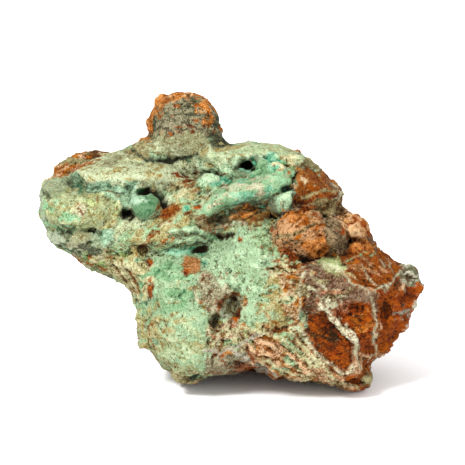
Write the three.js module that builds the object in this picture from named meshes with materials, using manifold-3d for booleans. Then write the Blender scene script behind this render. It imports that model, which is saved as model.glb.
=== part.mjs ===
// A green moonstone cluster: one natural stone, 129 mm wide, of mint-green crust grown over
// rust-brown rock, with a round boss on top, a ledge to the left, hollows, ridges and knobs.
// It is modelled upright, as its best face is seen: x across, y away from the viewer, z up.
// Then the whole stone leans back, and is cut flat where it rests. Millimetres throughout.
import * as THREE from "three";
import { MarchingCubes } from "three/addons/objects/MarchingCubes.js";
import { ImprovedNoise } from "three/addons/math/ImprovedNoise.js";
import { mergeVertices } from "three/addons/utils/BufferGeometryUtils.js";
import Module from "manifold-3d";

// Driving dimensions.
const LEAN = THREE.MathUtils.degToRad(15); // how far the face leans back when the stone rests
const REACH = 72; // half the side of the cube of space that the rough form is cut from
const LIFT = 46; // height of the middle of that space
const STEP = 3.45; // side of one of its cells, at the face
const SPREAD = 0.5; // how much wider the cells grow towards the back
const KEEP_OFF = 0.06; // share of a cell that the surface keeps off its corners
const BLEND = 1.6; // how far two masses flow into each other where they meet
const RIM_BULGE = 34; // radius of the stone's edge, from front to back
const RIM_DEPTH = 8; // how far behind the middle the edge lies at the foot
const FOOT_HEIGHT = 20; // below this height the sides run straight back
const FACE_END = [4, 20]; // y between which the valleys and ridges of the face die out
const LUMP = { size: 11, height: 1.0 }; // broad unevenness of the surface
const BACK_LUMP = { size: 17, height: 4 }; // unevenness of the stone's back
const GRIT = { size: 4.6, height: 0.45 }; // the finer one

// The stone's edge as its face is seen, clockwise from the tip of the ledge, as [x, z].
const OUTLINE = [
  [-64.5, 66.5], [-63, 68.5], [-60, 69.5], [-59, 72.5], [-57, 75.5], [-54, 77.5],
  [-50, 79.5], [-46, 80], [-41.5, 79], [-37, 78.5], [-35, 81], [-31, 82], [-28.5, 82.5],
  [-27.5, 85.5], [-28, 88.5], [-26.5, 91.5], [-24.5, 94.5], [-24, 97], [-21.5, 98.5],
  [-17.5, 99], [-13.5, 98.5], [-10, 98], [-7.5, 96.5], [-5.5, 94], [-3.5, 89.5],
  [-2.5, 80.5], [0.5, 81.5], [6, 82.5], [11.5, 82], [18.5, 81], [22, 79.5], [24.5, 77],
  [27.5, 75.5], [30.5, 72.5], [32.5, 69.5], [35.5, 69], [38.5, 65.5], [38, 63],
  [36.5, 61.5], [36.5, 59.5], [40.5, 58.5], [44, 56.5], [46, 53.5], [46.5, 50.5],
  [50, 46.5], [52.5, 44], [56, 42.5], [59.5, 41], [61, 39], [63.5, 37], [64.5, 34.5],
  [62.5, 31.5], [62.5, 28.5], [62, 26], [60.5, 24], [59, 20.5], [56.5, 18], [53.5, 14.5],
  [52, 12], [49.5, 10.5], [46.5, 8.5], [46, 6.5], [47.5, 4], [46, 0.5], [43.5, -1],
  [40, -1], [35.5, 1], [30.5, 2], [26, 2.5], [20.5, 3.5], [18, 4], [15, 2.5], [12, 4.5],
  [7.5, 5], [3.5, 4.5], [-2.5, 4.5], [-6.5, 4.5], [-9, 3], [-13.5, 1.5], [-17.5, 1.5],
  [-19, 3.5], [-19, 5.5], [-23.5, 8], [-25.5, 10], [-26, 12.5], [-29, 13.5], [-30.5, 17.5],
  [-31, 19.5], [-30.5, 22.5], [-30.5, 27.5], [-32.5, 29.5], [-33.5, 32.5], [-37.5, 36],
  [-42.5, 38], [-48, 40], [-50.5, 42.5], [-52.5, 44.5], [-56.5, 46.5], [-60.5, 49],
  [-62.5, 53], [-63.5, 57.5], [-63.5, 61.5], [-63, 64.5],
];

// The masses that the stone is grown from: where each lies, its half sizes, how it is tipped
// towards the viewer and rolled anticlockwise, in degrees, and how boxy it is (2 is round).
const MASSES = {
  mintBlock: { at: [-9.5, 0, 26.5], size: [23, 27, 25], square: 3 },
  middleBlock: { at: [11, 0, 33], size: [20, 30, 31], square: 2.6 },
  rightMass: { at: [35, 0, 27.5], size: [26, 27, 26], square: 2.3 },
  rightEnd: { at: [52, 2, 29], size: [13, 19, 14.5] },
  rightFoot: { at: [40, -2, 5], size: [8.5, 15, 7.5] },
  belly: { at: [13, 4, 12], size: [28, 22, 10], square: 2.6 },
  leftFoot: { at: [-14, 6, 6], size: [6.5, 16, 6] },
  waist: { at: [-18, 2, 55.5], size: [38, 24, 14], roll: 7, square: 2.8 },
  shoulder: { at: [14, 2, 65], size: [20, 25, 16], roll: -10 },
  table: { at: [-34, -1, 73], size: [18, 19, 5.6], tip: 22, roll: 3, square: 3 },
  cheek: { at: [-49, -4, 59], size: [15.5, 18, 8], square: 2.8 },
  chin: { at: [-49, 0, 50], size: [14, 15, 7], roll: -20 },
  ramp: { at: [-40, 2, 43.5], size: [17, 17, 7], roll: -28 },
  rustHump: { at: [-49, 8, 73], size: [12, 13, 7.5], roll: 20 },
  wingLip: { at: [-58, -3, 67], size: [8, 10, 3], roll: 15 },
  boss: { at: [-14, 3, 86], size: [12, 12.5, 14.5], square: 2.8 },
  bossFlank: { at: [-23, 6, 91], size: [5, 9, 9], roll: -14 },
  saddle: { at: [-30, 0, 78.5], size: [8, 10, 4.6] },
  ridgeTop: { at: [6, 0, 78], size: [19, 17, 5.4], square: 2.6 },
  tealRidge: { at: [4, -20, 65], size: [18, 7, 4.4], roll: 20 },
  wedge: { at: [28, -2, 68], size: [12, 17, 8], roll: -35, square: 2.6 },
  wedgeLedge: { at: [30, -5, 61.5], size: [9, 16, 3.8], roll: 5 },
  wedgeRoot: { at: [33, 4, 57], size: [6.5, 13, 7] },
  orangeBoulder: { at: [23, -17, 51], size: [11.5, 14, 9], roll: 8 },
  brownBoulder: { at: [33.5, -16, 51], size: [5.5, 13, 8], roll: 6 },
  peachBoulder: { at: [40.5, -4, 53], size: [6.5, 13, 6] },
  rustCheek: { at: [46, -8, 40.5], size: [12.5, 17, 9], roll: -30, square: 2.4 },
  greyShelf: { at: [32.5, -22, 32], size: [10.5, 8, 6.5], square: 2.6 },
  creamBoulder: { at: [-31.5, -9, 38.5], size: [8, 13, 7.5], roll: -25, square: 2.6 },
  middleBand: { at: [-21, -16, 51], size: [18, 10, 6], roll: 12, square: 2.4 },
  lowerLeft: { at: [-23.5, -4, 17], size: [8.5, 17, 10] },
  lowerCell: { at: [34, -16, 14.5], size: [12, 11, 10], roll: -20 },
  bottomRidge: { at: [18, -15, 11], size: [19, 9, 5.5], roll: -14 },
  backHump: { at: [6, 22, 46], size: [28, 15, 21], square: 2.4 },
  backSlab: { at: [-22, 17, 52], size: [24, 13, 13], roll: 10, square: 3 },
  backFoot: { at: [16, 18, 14], size: [27, 17, 15], square: 2.8 },
  backShoulder: { at: [32, 16, 34], size: [18, 14, 18], roll: 30 },
};

// Valleys that run over the face, as [x, z] from end to end. Width is from middle to side.
const GROOVES = {
  underSlab: { along: [[-50, 66], [-43, 66.5], [-32, 65.5], [-20, 66]], width: 2.2, depth: 2.6 },
  behindSlab: { along: [[-32.3, 78.7], [-30, 76], [-12, 76.5]], width: 2, depth: 1.8 },
  underCheek: { along: [[-62, 53], [-53, 54.4], [-46, 52], [-37, 55]], width: 2, depth: 2 },
  bandFoot: {
    along: [[-39, 44], [-31, 46.3], [-26.7, 45], [-21, 44], [-13, 46], [-7.7, 45.3], [-5, 49], [1, 51]],
    width: 2.2,
    depth: 2.4,
  },
  bandTop: { along: [[-37, 54.3], [-23.3, 55.3], [-18.3, 61]], width: 2.4, depth: 1.8 },
  tealFoot: { along: [[-8.3, 54.3], [-1.7, 58.7], [8.3, 61.5], [14, 58]], width: 2.4, depth: 2.6 },
  tealTop: { along: [[-11, 63], [-5, 66.5], [3.3, 70], [15, 74]], width: 2, depth: 1.8 },
  boulderFoot: {
    along: [[14, 57.7], [12.7, 51], [15, 46], [21.3, 44], [27.3, 43.3], [33.3, 42], [38.3, 46]],
    width: 2.4,
    depth: 3,
  },
  boulderSplit: { along: [[29.3, 57.7], [30.7, 51], [29.3, 45.3]], width: 1.7, depth: 1.6 },
  peachSide: { along: [[37, 54.5], [38.7, 50.7], [40.7, 48.3]], width: 2, depth: 2.4 },
  ledgeFoot: { along: [[23.3, 58], [33, 58]], width: 2.2, depth: 1.8 },
  wedgeSide: { along: [[20.7, 72], [21.7, 67.7], [23.3, 63.3]], width: 1.9, depth: 2 },
  cheekTop: { along: [[36.7, 44.3], [40.7, 47], [46, 48.7]], width: 2, depth: 2 },
  crustFoot: {
    along: [[-8, 14], [-1.7, 12.7], [6.7, 16.7], [13.3, 19.3], [20, 23.3]],
    width: 2,
    depth: 1.7,
  },
  crustMiddle: { along: [[-10, 34.3], [-5, 27.7], [-5.7, 21], [-2.7, 14.3]], width: 3.2, depth: 1.8 },
  shelfFoot: { along: [[22.5, 27], [30, 25.7], [38, 28]], width: 2, depth: 1.6 },
};

// Thin walls and ridges that stand out of the face, laid out like the grooves.
const RIDGES = {
  wallTop: {
    along: [[23.3, 40], [30, 40.7], [36.7, 38.7], [40, 35], [45, 32.7], [46.7, 28.3], [47.7, 23.3]],
    width: 1.9,
    height: 1.6,
  },
  wallMiddle: { along: [[47.7, 23.3], [47, 16], [48, 12.7], [46.3, 8.7]], width: 1.9, height: 1.6 },
  wallRight: { along: [[47.3, 32], [50, 34], [53.3, 36], [56.7, 39.3]], width: 1.9, height: 1.4 },
  wallLeft: { along: [[23.3, 40], [22.3, 34.3], [23.7, 29.3], [21, 24.3]], width: 1.9, height: 1.4 },
  wallThick: {
    along: [[31, 26.7], [38.3, 19.3], [40.7, 14.3], [43.3, 10.3], [44, 6.7]],
    width: 2.4,
    height: 2,
  },
  footRidge: { along: [[6.7, 17.7], [20, 12.7], [33.3, 5.3]], width: 2, height: 1.5 },
  footRidgeLow: { along: [[0.7, 12], [13.3, 8.7], [26.7, 3.6]], width: 2, height: 1.5 },
  crustEdge: { along: [[-24, 28], [-20, 18], [-16, 9]], width: 2.4, height: 1 },
};

// Small round growths that stand out of the face, as [x, z], and how deep their middle lies.
const KNOBS = {
  waxLump: { at: [-27.5, 60.3], deep: 1.5, size: [4.6, 5, 3.7] },
  creamKnob: { at: [-49.5, 50], deep: 0.5, size: [4.2, 3.5, 2.9] },
  leftDrip: { at: [15, 61.5], deep: 0, size: [1.9, 2.6, 4.6], roll: 4 },
  rightDrip: { at: [18.6, 62.8], deep: 0, size: [2.2, 2.6, 4], roll: -6 },
  ledgeKnob: { at: [-6.3, 68.3], deep: 0, size: [2.3, 2.4, 1.9] },
  caveKnob: { at: [9.5, 75], deep: 0, size: [2.8, 2.6, 2.1] },
  greenKnob: { at: [15.6, 72.5], deep: 0.4, size: [3.4, 3, 3] },
  paleKnob: { at: [21.5, 76], deep: 0.4, size: [3.6, 3, 2.8] },
  endTop: { at: [59.6, 38.4], deep: 1.5, size: [3.6, 4.5, 3.2] },
  endTip: { at: [61, 33.8], deep: 1.5, size: [3.3, 4.4, 2.9] },
  endMiddle: { at: [59, 28.2], deep: 1.5, size: [3.3, 4.2, 3] },
  endLow: { at: [56.6, 20.8], deep: 1.5, size: [2.9, 4, 2.7] },
  endFoot: { at: [51, 14.4], deep: 1.5, size: [3.2, 4, 3.4] },
  footKnob: { at: [45, 3.4], deep: 1.5, size: [2.4, 4, 3] },
  scallopLow: { at: [-28, 15], deep: 2, size: [3, 5, 2.8] },
  scallopHigh: { at: [-28.6, 24.6], deep: 2, size: [2.4, 5, 2.6] },
};

// Hollows and crevices cut into the face, as the knobs are placed.
const HOLLOWS = {
  longVug: { at: [-27, 65.4], deep: 0, size: [5.4, 8, 1.5], roll: -6 },
  lowVug: { at: [-34.2, 58.4], deep: 0, size: [2.9, 7.5, 2.4] },
  wingHollow: { at: [-51, 69], deep: 0, size: [3, 3.6, 3.6], roll: 20 },
  topVug: { at: [5.2, 74.8], deep: 0, size: [3.2, 7, 2], roll: 12 },
  topVugRight: { at: [12, 77.2], deep: 0, size: [1.9, 4, 0.9] },
  wedgeGap: { at: [21.4, 70], deep: 0, size: [1.2, 5, 2.5], roll: -25 },
  pit: { at: [0.8, 27.6], deep: 0, size: [3.3, 5, 4], roll: -25 },
  smallPit: { at: [-4.4, 22.8], deep: 0, size: [1.8, 3.4, 2.8], roll: -10 },
  peachGap: { at: [39.4, 49.2], deep: 0, size: [1.9, 5, 1.5] },
  knobHollow: { at: [-44.6, 52.4], deep: 0, size: [1.6, 4, 2], roll: 35 },
  underHollow: { at: [6, 7.4], deep: 0, size: [7.5, 6, 2], roll: 4 },
  footHollow: { at: [40.2, 2.8], deep: 0, size: [3.8, 5, 2.2] },
  bigCell: { at: [32.2, 16], deep: -1.8, size: [9, 4.4, 7], roll: -40, detail: 2 },
  upperCell: { at: [42.6, 22.6], deep: -1, size: [3.6, 3.2, 7], roll: 12 },
  rightCell: { at: [51.2, 22], deep: -0.6, size: [3, 3, 10], roll: -8 },
  cheekCell: { at: [45, 39], deep: -1.6, size: [6.5, 3.4, 4], roll: -28 },
};

const noise = new ImprovedNoise();
const stoneFinish = new THREE.MeshStandardMaterial({
  color: "#9f966e",
  roughness: 0.85,
  metalness: 0,
});

// Height of one kind of unevenness at a point.
function uneven(point, { size, height }) {
  return height * noise.noise(point.x / size + 7.3, point.y / size + 2.9, point.z / size + 4.1);
}

// Turns a mass's tip and roll into the rotation that stands it in the stone.
function turnOf({ tip = 0, roll = 0 }) {
  const angles = [tip, -roll, 0].map((degrees) => THREE.MathUtils.degToRad(degrees));
  return new THREE.Quaternion().setFromEuler(new THREE.Euler(...angles));
}

const masses = Object.values(MASSES).map((mass) => ({
  centre: new THREE.Vector3(...mass.at),
  size: mass.size,
  back: turnOf(mass).invert(),
  square: mass.square ?? 2,
}));

// Distance from a point to a mass's surface, negative inside.
function distanceToMass(point, { centre, size, back, square }) {
  const local = point.clone().sub(centre).applyQuaternion(back).toArray();
  let sum = 0;
  let slope = 0;
  for (let axis = 0; axis < 3; axis++) {
    const share = Math.abs(local[axis]) / size[axis] + 1e-6;
    sum += share ** square;
    slope += (share ** (square - 1) / size[axis]) ** 2;
  }
  const level = sum ** (1 / square);
  return ((level - 1) * level ** (square - 1)) / Math.sqrt(slope);
}

// Joins two distances with a rounded valley between their surfaces.
function blend(a, b, width) {
  const share = Math.max(width - Math.abs(a - b), 0) / width;
  return Math.min(a, b) - (share * share * width) / 4;
}

// Distance on the face from [x, z] to the straight stretch between two places.
function distanceToStretch([x, z], [x0, z0], [x1, z1]) {
  const along = (x - x0) * (x1 - x0) + (z - z0) * (z1 - z0);
  const share = THREE.MathUtils.clamp(along / ((x1 - x0) ** 2 + (z1 - z0) ** 2), 0, 1);
  return Math.hypot(x - x0 - share * (x1 - x0), z - z0 - share * (z1 - z0));
}

// Distance on the face inside the outline, negative outside.
function insideOutline([x, z]) {
  let nearest = Infinity;
  let inside = false;
  OUTLINE.forEach(([x1, z1], i) => {
    const [x0, z0] = OUTLINE.at(i - 1);
    nearest = Math.min(nearest, distanceToStretch([x, z], [x0, z0], [x1, z1]));
    const level = x0 + ((z - z0) / (z1 - z0)) * (x1 - x0);
    if (z0 > z !== z1 > z && x < level) inside = !inside;
  });
  return inside ? nearest : -nearest;
}

// How far a valley or ridge reaches at a place on the face: 1 along it, 0 away from it.
function reachOf({ along, width }, place) {
  let nearest = Infinity;
  for (let i = 1; i < along.length; i++) {
    nearest = Math.min(nearest, distanceToStretch(place, along[i - 1], along[i]));
  }
  return Math.exp(-((nearest / width) ** 2));
}

// How far the valleys cut into the face at a point, less how far the ridges stand out of it.
function carving(point) {
  if (point.y > FACE_END[1]) return 0;
  const place = [point.x, point.z];
  let cut = 0;
  for (const groove of Object.values(GROOVES)) cut += groove.depth * reachOf(groove, place);
  for (const ridge of Object.values(RIDGES)) cut -= ridge.height * reachOf(ridge, place);
  return cut;
}

// Distance from a point to the rough form: the masses within the outline's rounded edge.
function distance(point) {
  let rough = Infinity;
  for (const mass of masses) rough = blend(rough, distanceToMass(point, mass), BLEND);
  const atBack = THREE.MathUtils.smoothstep(point.y, ...FACE_END);
  rough += uneven(point, LUMP) + uneven(point, GRIT) + atBack * uneven(point, BACK_LUMP);
  rough += (1 - atBack) * carving(point);
  const free = THREE.MathUtils.smoothstep(point.z, 0, FOOT_HEIGHT);
  const behind = point.y - RIM_DEPTH * (1 - free);
  const edge = (free * behind * behind) / (2 * RIM_BULGE) - insideOutline([point.x, point.z]);
  return Math.max(rough, edge + uneven(point, GRIT) / 2);
}

// The y at which a line of sight through a place on the face meets the rough form.
function faceDepth(x, z) {
  const point = new THREE.Vector3(x, -REACH, z);
  while (point.y < REACH) {
    const away = distance(point);
    if (away < 0.05) break;
    point.y += Math.max(away * 0.6, 0.05);
  }
  return point.y;
}

// Moves a point of evenly spaced cells to where they stand, wider towards the back.
function spreadOut(point) {
  const spread = 1 + SPREAD * THREE.MathUtils.smoothstep(point.y, -REACH / 4, REACH / 2);
  return point.set(point.x * spread, point.y, LIFT + point.z * spread);
}

// The rough form as a mesh, from the distance at each corner of the cells.
function roughForm() {
  const middle = Math.round(REACH / STEP);
  const cells = 2 * middle;
  const space = new MarchingCubes(cells, stoneFinish, false, false, 20000);
  const nearest = KEEP_OFF * STEP; // surface nearer to a corner would leave slivers of faces
  for (let k = 0; k < cells; k++) {
    for (let j = 0; j < cells; j++) {
      for (let i = 0; i < cells; i++) {
        const corner = new THREE.Vector3(i - middle, j - middle, k - middle);
        const away = distance(spreadOut(corner.multiplyScalar(STEP)));
        const kept = Math.abs(away) < nearest ? Math.sign(away) * nearest : away;
        space.field[i + j * cells + k * cells * cells] = -kept;
      }
    }
  }
  space.isolation = 0;
  space.update();
  const count = space.geometry.drawRange.count;
  const points = Array.from({ length: count }, (_, index) => {
    const point = new THREE.Vector3().fromBufferAttribute(space.geometry.attributes.position, index);
    return spreadOut(point.multiplyScalar(middle * STEP));
  });
  return new THREE.BufferGeometry().setFromPoints(points);
}

// An uneven ball of the given half sizes, at a place on the face.
function ball({ at: [x, z], deep, size, roll = 0, detail = 1 }) {
  const geometry = new THREE.IcosahedronGeometry(1, detail);
  const turn = new THREE.Matrix4().makeRotationFromQuaternion(turnOf({ roll }));
  geometry.scale(...size).applyMatrix4(turn);
  geometry.translate(x, faceDepth(x, z) + deep, z);
  return geometry;
}

const wasm = await Module();
wasm.setup();

// A three.js geometry as a solid that can be joined and cut.
function solidOf(geometry) {
  geometry.deleteAttribute("normal");
  geometry.deleteAttribute("uv");
  const merged = mergeVertices(geometry, 1e-3);
  return new wasm.Manifold(
    new wasm.Mesh({
      numProp: 3,
      vertProperties: merged.attributes.position.array,
      triVerts: new Uint32Array(merged.index.array),
    }),
  );
}

// The finished solid as a three.js geometry.
function geometryOf(solid) {
  const { vertProperties, triVerts } = solid.getMesh();
  return new THREE.BufferGeometry()
    .setAttribute("position", new THREE.BufferAttribute(vertProperties, 3))
    .setIndex(new THREE.BufferAttribute(triVerts, 1));
}

// The stone, upright: the rough form with its knobs joined on and its hollows cut out.
function uprightStone() {
  let stone = solidOf(roughForm());
  for (const knob of Object.values(KNOBS)) stone = stone.add(solidOf(ball(knob)));
  for (const hollow of Object.values(HOLLOWS)) stone = stone.subtract(solidOf(ball(hollow)));
  return stone;
}

// Leans the stone back, cuts it flat where it rests, and centres it over the origin.
function restingStone() {
  const leaning = geometryOf(uprightStone()).rotateX(-LEAN);
  const ground = new THREE.BoxGeometry(4 * REACH, 4 * REACH, REACH).translate(0, 0, -REACH / 2);
  const resting = geometryOf(solidOf(leaning).subtract(solidOf(ground)));
  resting.computeBoundingBox();
  const middle = resting.boundingBox.getCenter(new THREE.Vector3());
  return resting.translate(-middle.x, -middle.y, 0);
}

const stone = new THREE.Mesh(restingStone(), stoneFinish);
stone.name = "moonstone_cluster";

const cluster = new THREE.Group();
cluster.add(stone);

export default cluster;
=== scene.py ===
"""A green moonstone cluster: mint crust, teal lumps and cream ridges over rust-brown rock.

The solid's own mesh is copied, made fine, smoothed and worked over like clay: hollows are
deepened, walls and knobs raised, and the grain of each finish pressed in. Every place on the
stone's face is given as (x, z) in millimetres on the upright stone, seen from the front.
"""
import math

import bmesh
import bpy
import numpy as np
from mathutils import Matrix, Vector, noise


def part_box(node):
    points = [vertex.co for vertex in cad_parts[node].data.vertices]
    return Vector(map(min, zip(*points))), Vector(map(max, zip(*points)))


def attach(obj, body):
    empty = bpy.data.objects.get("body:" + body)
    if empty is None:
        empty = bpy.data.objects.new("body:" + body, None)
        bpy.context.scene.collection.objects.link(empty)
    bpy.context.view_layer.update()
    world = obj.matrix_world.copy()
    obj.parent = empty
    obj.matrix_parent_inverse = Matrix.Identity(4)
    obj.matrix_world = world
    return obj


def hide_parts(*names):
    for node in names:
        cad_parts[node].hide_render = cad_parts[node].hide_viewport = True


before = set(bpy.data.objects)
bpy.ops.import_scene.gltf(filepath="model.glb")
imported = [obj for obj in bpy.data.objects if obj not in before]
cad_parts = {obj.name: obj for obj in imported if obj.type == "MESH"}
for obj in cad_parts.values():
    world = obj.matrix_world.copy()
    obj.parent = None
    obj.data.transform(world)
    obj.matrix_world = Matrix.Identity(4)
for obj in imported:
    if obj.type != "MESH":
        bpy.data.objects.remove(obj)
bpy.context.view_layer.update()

MM = 0.001
NODE = "moonstone_cluster"
LEAN = math.radians(15)  # how far the stone's face leans back as it rests
FOOTPRINT_CENTRE = (0.17, 13.24)  # x and y in mm of the box's middle, as the face is measured
FACET_SIZE = 0.7  # side in mm of one facet of the fine mesh

SOFT_ROUNDS = 11  # rounds of smoothing that take away the solid's own facets
EDGE_ROUNDS = 2  # rounds that soften the relief of the marks
NEAR_ROUNDS = 6  # rounds that level small forms, which shows what stands out close by
WIDE_ROUNDS = 48  # rounds that level larger forms
FALL = 38  # degrees by which the strands of fibrous finishes fall to the right
RISE = 26  # degrees by which the other strands rise to the right
SEED_STEP = 17.31  # how far each seed moves the noise, in lumps
SLOPE_SHIFTS = (12.7, 45.1, 83.6)  # where in the noise the three parts of a broken face's slope lie

DEPTH = 1.16  # how far the colours are deepened, as a surface seen in soft light looks pale
STUDIO = 0.445  # how far the tones are taken down for the bright studio light
DARKEST = 0.002  # the least red, green or blue of a tone before it is taken down
GREY_SHARES = (0.21, 0.72, 0.07)  # what red, green and blue give to a colour's lightness
TONE_COLUMNS = 12  # in a row of finish values, four tones come first, and six amounts follow

# Where the material's noise passes from one look to the next: the low and high end of each step.
DARK_TO_MIDDLE = (0.43, 0.475)
MIDDLE_TO_LIGHT = (0.51, 0.555)
SPECK_EDGE = (0.62, 0.67)
# Then come three things. The pore specks are drawn more in cavities as painted shade. The glint specks are
# painted highlights. The last tone is the very dark painted shade of creases.
PORE_AND_SHADE_EDGE = (0.61, 0.68)
PAINTED_GLINT_EDGE = (0.66, 0.72)
PORE_AND_SHADE_TONE = (0.02, 0.015, 0.007, 1.0)
PAINTED_CREASE_SHADE = (0.004, 0.003, 0.001, 1.0)
PAINTED_GLINT_GAIN = (1.6, 1.6, 1.5, 1.0)

# Which output of a node is read, where it isn't the first.
OBJECT_PLACE = 3
LAYER_NUMBER = 2
MIXED_COLOUR = 2

VIEW_WIDTH = 155  # width in mm of what the camera sees at the stone
VIEW_MIDDLE = (0.66, 0.2, 50)  # the place in mm that the camera looks at
CAMERA_DISTANCE = 1.3
FLOOR_REACH = 4  # metres from the floor's middle to its sides
SKY_STRENGTH = 1.2
LIGHT_AIM = Vector((0, 0, 0.05))
# Soft square lights: where each stands and how wide it is in metres, and its power in watts.
LIGHTS = {
    "key": ((-0.5, -0.75, 0.95), 0.35, 25),
    "fill": ((0.9, -0.8, 0.5), 0.8, 6),
}

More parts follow.
